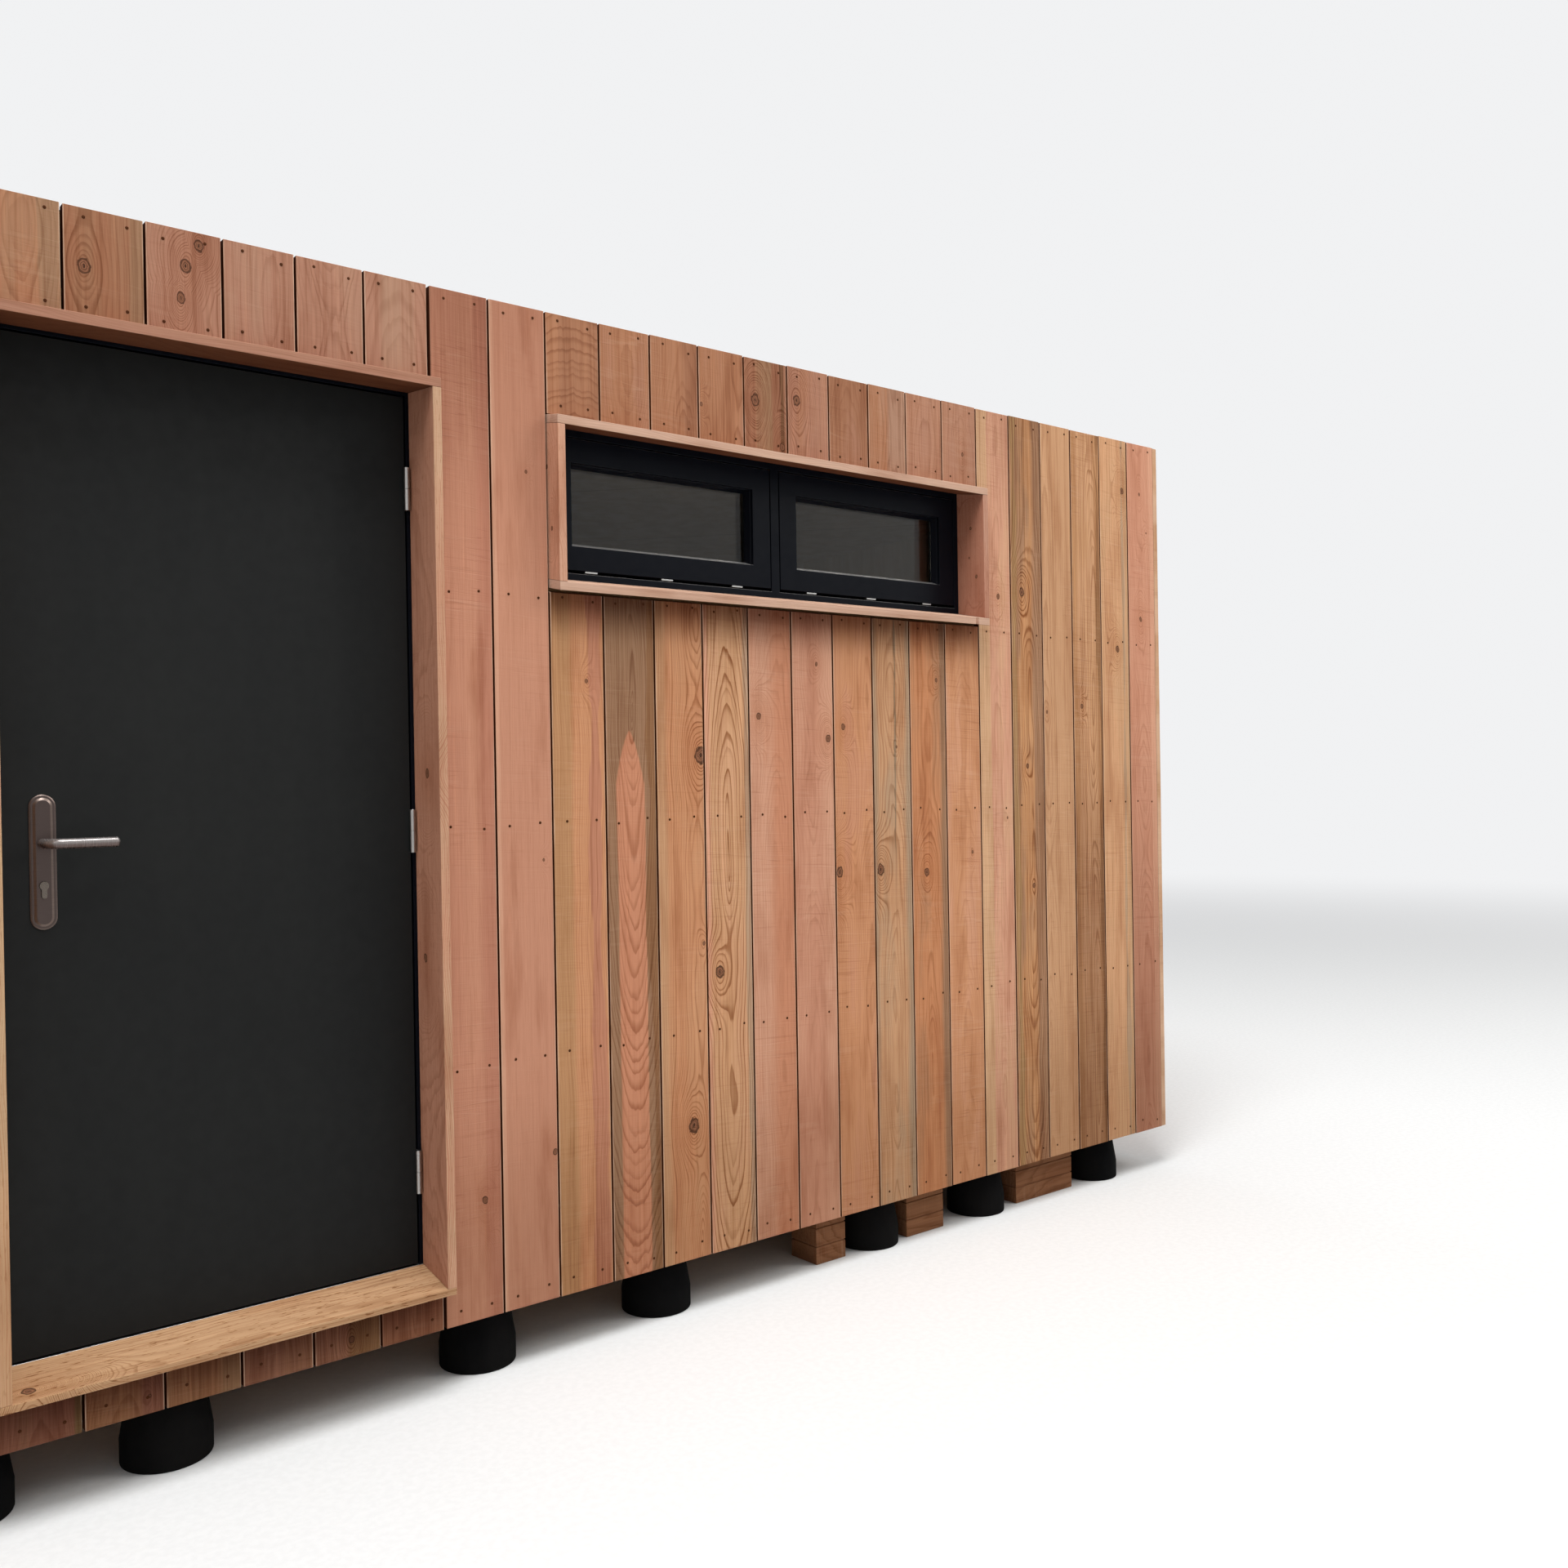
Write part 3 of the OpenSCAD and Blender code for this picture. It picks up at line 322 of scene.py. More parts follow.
def paintedLightAndWear(g, color, across, along, deep, ripple, sideShade):
    # Painted shade low on a wall, a board's corners lightened as painted highlight and wear, and its edges
    # and sides darkened as painted shade, with some stain at the edges
    # The foot of the wall is darker: painted shade
    color = g.tinted(g.step(along, 0.75, 0.25, 0.0, 0.5), color, timberTints["footShade"])
    # A corner board's free side and the boards' top ends get none of the edge and side darkening, and stay as
    # light as their faces
    place = g.parts(g.coordinates())
    atCorner = g.larger(g.step(place[1], cornerFront + 0.002, cornerFront + 0.001),
                        g.step(place[1], cornerBack - 0.002, cornerBack - 0.001))
    sideways, forward, upward = g.parts(g.put("ShaderNodeNewGeometry").outputs["Normal"])
    freeEdge = g.times(atCorner, g.step(g.absolute(sideways), *facesThatWay))
    freeEdge = g.times(freeEdge, g.step(g.absolute(place[0]), *boardEdge["wallEnd"]))
    freeSide = g.times(atCorner, g.step(g.absolute(forward), *facesThatWay))
    freeSide = g.larger(freeSide, g.step(upward, *facesThatWay))
    offMiddle = g.absolute(across)
    # The face beside each joint is lighter: painted highlight, partly wear, varying along the board
    arrisLightAndWear = g.step(ripple, 0.35, 0.6, 0.05, 0.42)
    color = g.blend(g.step(offMiddle, *boardEdge["arris"], 0.0, arrisLightAndWear), color, timberTints["arris"])
    # The board's edges into the joints darken: painted shade, with some stain
    edgeDarkened = g.step(offMiddle, *boardEdge["stain"], 0.0, 0.85)
    edgeDarkened = g.minus(edgeDarkened, g.larger(freeEdge, freeSide), clamp=True)
    color = g.blend(edgeDarkened, color, timberTints["edgeShadeAndStain"])
    # A board's sides within the joints darken with depth: painted shade
    shaded = g.minus(g.step(deep, *boardEdge["side"], 0.0, sideShade), freeSide, clamp=True)
    return g.blend(shaded, color, timberTints["jointSideShade"])


def timber(name, rough=0.82, knotted=True, sideShade=0.0):
    # Wood whose boards each carry their own tones, rings and knots as attributes
    material, g = newMaterial(name)
    tint = timberTints
    place, seed = g.attribute("place"), g.attribute("seed", "Fac")
    across, along, deep = g.parts(place)
    leftEdge, rightEdge, softness = g.parts(g.attribute("bands"))
    ringAmount, sawAmount, spacing = g.parts(g.attribute("figure"))
    streakAt, streakHalf, streakFoot = g.parts(g.attribute("streak"))
    darkeningTop, darkeningReach, darkeningAmount = g.parts(g.attribute("darkening"))
    patchy, combed, wandering = g.parts(g.attribute("cast"))
    pull, local, knots = 0.0, 0.0, []
    if knotted:
        for which in knotNames:
            knot = g.use(knotMark, Place=place, Knot=g.attribute(which))
            knots.append(knot)
            pull = g.larger(pull, knot["Pull"])
            local = g.scaled(knot["Pull"], knot["Distance"], local)
    grain = g.use(woodGrain, Place=place, Seed=seed, Rings=g.attribute("rings"), Pull=pull, Local=local,
                  Spacing=spacing)
    saw = g.use(sawMarks, Place=place, Seed=seed, Amount=sawAmount)

    # The heartwood lies between two wandering edges, which close in an arch at heartTop
    overTop = g.minus(along, g.attribute("heartTop", "Fac"))
    opened = g.maths("SQRT", g.times(overTop, -7.0, clamp=True))
    closing = g.scaled(opened, -0.055, g.step(overTop, -0.012, 0.012, 0.055, 0.080))
    wander = g.noise(g.joined(seed, g.times(along, 1.5), g.times(across, 3.0)), detail=4.0)
    ripple = g.noise(g.joined(g.times(along, 7.0), seed, g.times(across, 9.0)), detail=3.0)
    drift = g.plus(g.swing(wander, 0.075), g.swing(ripple, 0.016))
    shifted = g.plus(g.scaled(drift, wandering, across), g.times(grain["Late"], 0.002))
    blurred = g.times(softness, -1.0)
    left = g.step(g.minus(g.minus(shifted, leftEdge), closing), blurred, softness, 1.0, 0.0)
    right = g.step(g.plus(g.minus(shifted, rightEdge), closing), blurred, softness)
    patches = g.times(g.step(grain["Blotch"], 0.46, 0.66), patchy)
    color = g.blend(g.larger(g.larger(left, right), patches), g.attribute("tone", "Color"),
                    g.attribute("edgeTone", "Color"))

    # One long streak, which swells and thins
    swelling = g.noise(g.joined(g.times(along, 2.4), seed, 5.0), detail=3.0)
    half = g.times(streakHalf, g.step(swelling, 0.3, 0.7, 0.3, 1.6))
    half = g.times(half, g.step(g.minus(along, streakFoot), -0.2, 0.25))
    streak = g.step(g.minus(g.absolute(g.minus(shifted, streakAt)), half), -0.004, 0.001, 1.0, 0.0)
    color = g.blend(g.times(streak, 0.8), color, g.attribute("streakTone", "Color"))

    color = g.tinted(g.step(grain["Blotch"], 0.52, 0.27, 0.0, 0.9), color, tint["blotch"])
    color = g.tinted(g.times(g.step(grain["Streaks"], 0.47, 0.25), combed), color, tint["paleStreak"])
    color = g.tinted(g.times(g.step(grain["Streaks"], 0.46, 0.70), combed), color, tint["darkStreak"])
    rings = g.times(grain["Late"], g.scaled(pull, 0.5, ringAmount), clamp=True)
    color = g.tinted(g.times(ringAmount, 0.35, clamp=True), color, tint["earlyWood"])
    color = g.tinted(rings, color, tint["lateWood"])
    color = g.tinted(g.step(grain["Fibre"], 0.50, 0.78, 0.0, 0.5), color, tint["fibre"])
    color = g.tinted(g.times(saw["Dark"], 0.32), color, tint["sawDark"])
    color = g.blend(g.times(saw["Light"], 0.06), color, tint["sawLight"])
    color = g.tinted(g.times(pull, 0.35), color, tint["roundKnot"])
    for knot in knots:
        turns = g.blend(g.step(knot["Turns"], 0.35, 0.80), tint["knotPale"], tint["knotDark"])
        color = g.blend(g.times(knot["Core"], 0.90), color, turns)
        color = g.blend(g.times(knot["Rim"], 0.90), color, tint["knotRim"])
        color = g.blend(g.times(knot["Crack"], 0.85), color, tint["knotCrack"])
    # Darker towards the top, or from the foot; below the sills it is painted shadow
    darkening = g.times(g.step(g.minus(along, darkeningTop), g.times(darkeningReach, -1.0), 0.0), darkeningAmount)
    darkening = g.times(darkening, g.step(grain["Streaks"], 0.25, 0.6, 0.8, 1.0))
    color = g.tinted(darkening, color, tint["darkening"])
    if knotted:
        fleck = g.noise(g.stretched(place, grainScales["flecks"]), detail=2.0, rough=0.6)
        fleck = g.times(g.step(fleck, 0.60, 0.68), g.attribute("flecks", "Fac"))
        color = g.tinted(fleck, color, tint["fleck"])
    if sideShade:
        color = paintedLightAndWear(g, color, across, along, deep, ripple, sideShade)
    height = g.plus(g.times(grain["Height"], 0.5), g.times(saw["Height"], 0.7))
    g.surface(color=color, rough=g.step(grain["Fibre"], 0.2, 0.8, rough - 0.06, rough + 0.06),
              shine=0.06, normal=g.bump(height, 0.45, 0.0005))
    return material


def coated(name, color, dusty, rough, dust=0.3, grain=900.0, shine=0.35, height=0.00012, ledgeDustAndSheen=0.0):
    # Paint, rubber or plastic with a fine skin and a little dust; ledge is a lighter grey on upward faces:
    # dust and a painted highlight
    material, g = newMaterial(name)
    coat = g.use(fineCoat, Place=g.coordinates(), Grain=grain, Dust=dust)
    shade = g.blend(coat["Film"], color, dusty)
    if ledgeDustAndSheen:
        # Upward faces and rounded top edges turn lighter grey: dust and a painted highlight
        upward = g.parts(g.put("ShaderNodeNewGeometry").outputs["Normal"])[2]
        shade = g.blend(g.step(upward, 0.15, 0.75, 0.0, ledgeDustAndSheen), shade, (0.20, 0.195, 0.19))
    g.surface(color=shade, rough=g.step(coat["Wear"], 0.3, 0.7, rough - 0.05, rough + 0.05),
              shine=shine, normal=g.bump(coat["Height"], 0.4, height))
    return material


def brushedMetal(name, color, rough, scales, slopeHighlight=None, underShade=None, metal=1.0):
    # Metal with fine brushed lines; sloped is a lighter tone on faces that lean away from the y direction, a
    # painted reflection, and under is a darker tone on faces that look down, painted shade
    material, g = newMaterial(name)
    place = g.coordinates()
    lines = g.noise(g.stretched(place, scales), detail=3.0)
    coat = g.use(fineCoat, Place=place, Grain=400.0, Dust=0.25)
    shade = color
    if slopeHighlight:
        # Faces that lean away turn lighter: painted reflection
        facing = g.absolute(g.parts(g.coordinates("Normal"))[1])
        shade = g.blend(g.step(facing, 0.80, 0.97, 1.0, 0.0), color, slopeHighlight)
    if underShade:
        # Faces that look down turn darker: painted shade
        upward = g.parts(g.coordinates("Normal"))[2]
        shade = g.blend(g.step(upward, -0.35, 0.30, 1.0, 0.0), shade, underShade)
    shade = g.blend(g.step(lines, 0.3, 0.7, 0.0, 0.3), shade, tuple(0.7 * c for c in color))
    g.surface(color=g.blend(coat["Film"], shade, tuple(0.85 * c for c in color)), metal=metal,
              rough=g.step(lines, 0.25, 0.75, rough - 0.06, rough + 0.08),
              normal=g.bump(lines, 0.03, 0.0002))
    return material


cladding = timber("claddingTimber", sideShade=0.95)
lining = timber("liningTimber", rough=0.7)
roughTimber = timber("roughTimber", rough=0.86)
leafPaint = coated("doorBlack", (0.0046, 0.0051, 0.0049), (0.011, 0.0115, 0.0105), 0.62, shine=0.18)
windowPaint = coated("windowPaint", (0.0024, 0.0032, 0.0056), (0.007, 0.008, 0.012), 0.34, dust=0.2,
                     shine=0.07, ledgeDustAndSheen=0.9)
rubber = coated("padRubber", (0.0028, 0.0029, 0.0031), (0.010, 0.009, 0.008), 0.9, dust=0.5, grain=300.0,
                shine=0.04, height=0.0006)
membrane = coated("membraneRubber", (0.022, 0.022, 0.023), (0.075, 0.07, 0.062), 0.75, dust=0.7,
                  grain=180.0, height=0.0008)
trimPaint = coated("trimDark", (0.016, 0.015, 0.014), (0.04, 0.037, 0.033), 0.5)
plastic = coated("gutterPlastic", (0.010, 0.010, 0.011), (0.045, 0.042, 0.04), 0.32, shine=0.5)
steel = brushedMetal("satinSteel", (0.25, 0.225, 0.215), 0.22, (1400.0, 30.0, 30.0),
                     underShade=(0.10, 0.062, 0.054), metal=0.6)
plateSteel = brushedMetal("plateSteel", (0.084, 0.063, 0.057), 0.38, (30.0, 30.0, 1400.0),
                          slopeHighlight=(0.23, 0.18, 0.155))
nickel = brushedMetal("cylinderNickel", (0.15, 0.125, 0.105), 0.26, (900.0, 40.0, 900.0))
galvanised = brushedMetal("hingeSteel", (0.40, 0.38, 0.36), 0.34, (30.0, 30.0, 900.0))
aluminium = brushedMetal("millAluminium", (0.46, 0.46, 0.45), 0.42, (1200.0, 30.0, 30.0))
nailMetal = coated("nailHead", (0.060, 0.020, 0.008), (0.09, 0.036, 0.018), 0.85, grain=2600.0, shine=0.02)

# Pale board facing inside, in sheets with a fine joint, and dark behind the cladding
sheeting = {"width": 1.2, "pale": (0.62, 0.52, 0.39), "deeper": (0.54, 0.43, 0.30),
            "joint": (0.12, 0.09, 0.06), "dust": (0.5, 0.46, 0.4), "outside": (0.022, 0.008, 0.004)}
wallFacing, g = newMaterial("wallFacing")
place = g.coordinates()
coat = g.use(fineCoat, Place=place, Grain=500.0, Dust=0.2)
px, py = g.parts(place)[:2]
sheet = g.maths("FRACT", g.maths("DIVIDE", g.plus(px, py), sheeting["width"]))
joint = g.step(g.absolute(g.minus(sheet, 0.5)), 0.4978, 0.4990)
figure = g.noise(g.stretched(place, (9.0, 9.0, 1.4)), scale=2.0, detail=5.0, rough=0.6)
shade = g.blend(g.step(figure, 0.35, 0.65), sheeting["pale"], sheeting["deeper"])
shade = g.blend(joint, shade, sheeting["joint"])
outside = g.larger(g.step(g.absolute(px), 1.90, 1.905), g.step(g.absolute(py), 1.20, 1.205))
shade = g.blend(outside, g.blend(coat["Film"], shade, sheeting["dust"]), sheeting["outside"])
g.surface(color=shade, rough=0.7, shine=0.1, normal=g.bump(g.plus(figure, coat["Height"]), 0.2, 0.0003))

# Clear glass with faint smears of rain
glass, g = newMaterial("paneGlass")
smear = g.noise(g.stretched(g.coordinates(), (6.0, 6.0, 3.0)), detail=4.0)
g.surface(color=g.blend(g.step(smear, 0.40, 0.75), (0.86, 0.80, 0.70), (0.78, 0.72, 0.62)),
          rough=g.step(smear, 0.45, 0.9, 0.0, 0.06), clear=1.0, bend=1.34)

print("stage: materials")


# Tones of the boards by plain names, as they show on a screen from 0 to 255
tones = {
    "rose": (184, 126, 102), "pink": (197, 141, 114), "salmon": (198, 137, 106), "orange": (200, 144, 106),
    "peach": (208, 156, 128), "tan": (197, 152, 115), "ochre": (183, 137, 98), "straw": (208, 167, 130),
    "olive": (158, 126, 88), "brown": (142, 102, 70), "umber": (106, 74, 50), "cream": (222, 184, 150),
    "shell": (200, 164, 142), "amber": (194, 135, 96), "grey": (170, 144, 118), "red": (136, 94, 66),
    "deal": (196, 160, 118), "stain": (128, 112, 92), "drift": (196, 174, 140), "shadeBrown": (112, 68, 46),
    "sand": (188, 150, 114), "clay": (152, 106, 82), "chestnut": (158, 111, 84), "russet": (170, 124, 102),
    "hazel": (171, 132, 109), "tawny": (170, 120, 90), "bronze": (154, 118, 91), "rust": (178, 130, 104),
}
figureLift = 0.845    # sets the tones' level against what the rings, fibres and streaks change

# A board's look where its own doesn't say otherwise:
# bands are the heartwood's left and right edge from the board's middle, and how soft they are
# rings are the tree's centre across the board and behind its face, and how much the tree leans
# figure is the strength of the rings and of the saw marks, and the rings' spacing
# cast is how patchy, streaky and wandering the tones are
# streak is the place across, half width and foot of a long streak, which has streakTone
# darkening is its top, reach and amount; with a reach below nought it rises from the foot. Below a sill it is
# painted shadow
# heartTop is the height at which the heartwood closes, and shade makes the whole board lighter or darker
plain = {"tone": "pink", "edge": "pink", "streakTone": "brown", "bands": (-0.2, 0.2, 0.006),
         "rings": (0.0, 0.05, 0.02), "figure": (0.4, 0.6, 0.0045), "cast": (0.5, 0.55, 0.4),
         "streak": (0.5, 0.0, -1.0), "darkening": (9.0, 0.1, 0.0), "shade": 1.0, "flecks": 0.0,
         "heartTop": 9.0, "knots": (), "seed": 1.0}
noKnot = (0, 0, 0)


def toLinear(shade, lift):
    # A screen tone as light
    return tuple(lift * ((c / 255.0 + 0.055) / 1.055) ** 2.4 for c in shade)


def faceLayers(mesh, looks):
    # Writes each face's board look to the mesh; looks has one dictionary for each face
    full = [{**plain, **look} for look in looks]

    def write(name, kind, field, values):
        layer = mesh.attributes.new(name, kind, "FACE")
        for item, value in zip(layer.data, values):
            setattr(item, field, value)

    for name, key in (("tone", "tone"), ("edgeTone", "edge"), ("streakTone", "streakTone")):
        write(name, "FLOAT_COLOR", "color", [
            (*toLinear(tones[look[key]], figureLift * look["shade"]), 1.0) for look in full])
    for name in ("darkening", "cast", "streak", "bands", "rings", "figure"):
        write(name, "FLOAT_VECTOR", "vector", [look[name] for look in full])
    for which, name in enumerate(knotNames):
        write(name, "FLOAT_VECTOR", "vector", [
            (*look["knots"], noKnot, noKnot, noKnot)[which] for look in full])
    for name in ("seed", "flecks", "heartTop"):
        write(name, "FLOAT", "value", [look[name] for look in full])


def placeLayer(mesh, places):
    # Writes each point's place across, along and into its own board
    layer = mesh.attributes.new("place", "FLOAT_VECTOR", "POINT")
    for item, place in zip(layer.data, places):
        item.vector = place


def newPiece(name, points, faces, material):
    mesh = bpy.data.meshes.new(name)
    mesh.from_pydata(points, [], faces)
    mesh.materials.append(material)
    obj = bpy.data.objects.new(name, mesh)
    scene.collection.objects.link(obj)
    return obj


def woodenNode(name, axes, look, material, perPiece=None):
    # Gives a CAD node its grain: axes are the model axes that run across, along and into the wood
    mesh = cad[name].data
    placeLayer(mesh, [tuple(vertex.co[k] for k in axes) for vertex in mesh.vertices])
    looks = []
    for face in mesh.polygons:
        own = dict(look)
        if perPiece:
            own.update(perPiece(face.center))
        if material is lining and face.normal.z < -0.7:
            own.update(tone="shadeBrown", edge="shadeBrown")    # undersides get a dark tone: painted shade
        looks.append(own)
    faceLayers(mesh, looks)
    mesh.materials.clear()
    mesh.materials.append(material)


# How far the edges of the timber are rounded; the other nodes' widths stand beside their materials
roundings = {"board": 0.0012, "lining": 0.0014, "roughTimber": 0.0015, "plank": 0.0005}


def newBevel(obj, width, segments):
    bevel = obj.modifiers.new("bevel", "BEVEL")
    bevel.width, bevel.segments, bevel.limit_method = width, segments, "ANGLE"


def rounded(obj, width):
    # Rounds the edges sharper than 30 degrees and lets the large faces keep their own direction
    newBevel(obj, width, 2)
    even = obj.modifiers.new("even", "WEIGHTED_NORMAL")
    even.mode, even.weight, even.keep_sharp = "FACE_AREA", 100, False
    for face in obj.data.polygons:
        face.use_smooth = True


def soften(obj, width):
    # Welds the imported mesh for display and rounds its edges; the vertices themselves stay
    if not width:
        return
    weld = obj.modifiers.new("weld", "WELD")
    weld.merge_threshold = 0.00001
    flat = obj.modifiers.new("flat", "DECIMATE")
    flat.decimate_type = "DISSOLVE"
    flat.angle_limit = math.radians(0.4)    # only what lies in one plane
    rounded(obj, width)


frontLow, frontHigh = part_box("front_cladding")
leftLow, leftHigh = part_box("left_cladding")
rightLow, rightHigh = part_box("right_cladding")
rearLow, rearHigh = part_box("rear_cladding")
pitch = 0.15    # from one board to the next
gap = 0.004     # open joint between two boards
boardThick = frontHigh.y - frontLow.y
footZ = frontLow.z
endX = frontHigh.x + gap / 2
faceY = frontLow.y

# The front's boards from the left end: tones, figure, and knots as (share of the width, height
# above the ground, radius). Boards 0 to 2 lie out of the view.
frontLooks = {
    0: dict(tone="pink", edge="tan", bands=(-0.045, 0.2, 0.006)),
    1: dict(tone="orange", rings=(0.01, 0.05, 0.03)),
    2: dict(tone="rose", edge="olive", bands=(-0.2, 0.055, 0.003), knots=[(0.3, 2.42, 0.009)]),
    3: dict(tone="orange", edge="rose", bands=(-0.2, 0.030, 0.01), knots=[(0.80, 0.176, 0.003)]),
    4: dict(tone="orange", edge="tan", bands=(-0.2, 0.03, 0.01), figure=(0.4, 0.8, 0.0045)),
    5: dict(tone="pink", edge="orange", figure=(0.3, 1.0, 0.0045)),
    6: dict(tone="pink", edge="ochre", bands=(-0.2, 0.0, 0.008), knots=[(0.55, 0.178, 0.006)]),
    7: dict(tone="salmon", edge="orange", rings=(0.0, 0.02, 0.02), figure=(0.35, 0.7, 0.0045)),
    8: dict(tone="pink", edge="rose", bands=(-0.2, 0.035, 0.012), rings=(0.20, 0.02, 0.006),
            figure=(0.18, 0.9, 0.0035), cast=(0.4, 0.3, 0.4), darkening=(2.5, 0.7, 0.62),
            knots=[(0.70, 0.412, 0.0065)], shade=1.03),
    9: dict(tone="pink", edge="peach", bands=(-0.062, 0.2, 0.003), rings=(0.16, 0.05, 0.01),
            figure=(0.12, 0.3, 0.004), cast=(0.0, 0.2, 0.08), darkening=(2.5, 0.7, 0.38),
            knots=[(0.82, 1.19, 0.003), (0.94, 0.491, 0.006), (0.62, 2.11, 0.003)]),
    10: dict(tone="ochre", edge="orange", streakTone="rose", bands=(-0.2, -0.020, 0.010),
             rings=(0.12, 0.03, 0.012), figure=(0.35, 0.5, 0.0065), cast=(0.1, 0.4, 0.3),
             streak=(0.045, 0.020, -1.0), knots=[(0.66, 1.62, 0.004)], shade=1.04),
    11: dict(tone="salmon", edge="bronze", streakTone="brown", bands=(-0.046, 0.036, 0.003),
             rings=(0.002, -0.16, 0.10), figure=(0.62, 0.5, 0.0055), cast=(0.0, 0.5, 0.25),
             streak=(0.062, 0.020, -1.0), heartTop=1.51),
    12: dict(tone="orange", edge="tan", bands=(-0.045, 0.2, 0.010), rings=(0.05, 0.02, 0.010),
             figure=(0.55, 0.5, 0.0050), cast=(0.35, 0.4, 0.3),
             knots=[(0.93, 1.438, 0.017), (0.66, 0.484, 0.014), (0.93, 0.95, 0.004)]),
    13: dict(tone="tan", edge="peach", streakTone="grey", bands=(-0.060, 0.060, 0.008),
             rings=(-0.002, -0.09, 0.085), figure=(1.0, 0.7, 0.0075), cast=(0.2, 0.6, 0.3),
             streak=(0.068, 0.012, -1.0), knots=[(0.27, 0.871, 0.012)], shade=1.06),
    14: dict(tone="peach", edge="salmon", bands=(-0.2, 0.0, 0.025), rings=(0.02, 0.05, 0.02),
             figure=(0.22, 0.9, 0.0045), cast=(0.5, 0.25, 0.4), knots=[(0.22, 1.542, 0.007)]),
    15: dict(tone="pink", edge="peach", bands=(-0.2, 0.03, 0.03), rings=(-0.01, 0.03, 0.030),
             figure=(0.28, 0.8, 0.005), cast=(0.5, 0.25, 0.4),
             knots=[(0.60, 1.69, 0.0045), (0.86, 1.484, 0.008)]),
    16: dict(tone="orange", edge="pink", rings=(0.06, 0.03, 0.02), figure=(0.35, 1.0, 0.0045),
             cast=(0.5, 0.25, 0.4), knots=[(0.10, 1.108, 0.011), (0.24, 1.517, 0.0065)], shade=1.04),
    17: dict(tone="tan", edge="grey", streakTone="stain", bands=(-0.062, 0.054, 0.012),
             rings=(0.0, 0.015, 0.025), figure=(0.42, 0.6, 0.0055), cast=(0.6, 0.6, 0.6),
             streak=(0.010, 0.004, 1.05), knots=[(0.15, 1.107, 0.012), (0.62, 1.46, 0.003)], shade=1.04),
    18: dict(tone="amber", edge="bronze", bands=(-0.2, 0.046, 0.010), rings=(-0.005, 0.015, 0.032),
             figure=(0.45, 0.6, 0.006), knots=[(0.40, 1.089, 0.009), (0.74, 1.66, 0.0045)], shade=1.06),
    19: dict(tone="orange", edge="peach", figure=(0.25, 1.2, 0.0045), cast=(0.5, 0.25, 0.4),
             knots=[(0.72, 1.14, 0.004)], shade=1.06),
    20: dict(tone="peach", edge="straw", bands=(-0.024, 0.2, 0.002), rings=(0.01, 0.02, 0.015),
             figure=(0.28, 0.8, 0.0055), darkening=(2.5, 0.5, 0.3),
             knots=[(0.61, 1.930, 0.0065), (0.80, 1.24, 0.003)], shade=1.06),
    21: dict(tone="ochre", edge="bronze", streakTone="olive", bands=(-0.2, 0.030, 0.010),
             rings=(0.01, -0.06, 0.055), figure=(0.75, 0.5, 0.0075), cast=(0.9, 1.0, 0.9),
             streak=(-0.058, 0.012, -1.0), darkening=(2.5, 0.6, 0.35),
             knots=[(0.35, 1.95, 0.010), (0.45, 1.40, 0.006), (0.6, 1.02, 0.006)], shade=1.18),
    22: dict(tone="tan", edge="tan", bands=(-0.050, 0.030, 0.014), rings=(-0.06, 0.02, 0.01),
             figure=(0.35, 0.7, 0.006), knots=[(0.11, 1.573, 0.0045)], shade=1.04),
    23: dict(tone="tan", edge="ochre", streakTone="brown", bands=(-0.045, 0.045, 0.010),
             rings=(0.03, 0.012, 0.012), figure=(0.65, 1.0, 0.006), cast=(0.5, 0.8, 0.5),
             streak=(0.064, 0.010, -1.0), darkening=(0.9, -0.7, 0.5), knots=[(0.29, 1.595, 0.006)],
             shade=1.06),
    24: dict(tone="tan", edge="sand", streakTone="grey", bands=(-0.2, 0.055, 0.012),
             rings=(-0.10, 0.03, 0.01), figure=(0.4, 0.8, 0.006), streak=(0.045, 0.010, -1.0),
             knots=[(0.82, 2.33, 0.008), (0.58, 1.792, 0.008)], shade=1.18),
    25: dict(tone="pink", edge="peach", bands=(-0.2, 0.045, 0.003), figure=(0.3, 0.8, 0.0045),
             cast=(0.3, 0.25, 0.3), darkening=(0.6, -1.1, 0.45),
             knots=[(0.46, 2.33, 0.004), (0.70, 2.20, 0.003), (0.45, 1.90, 0.006)], shade=1.10),
}

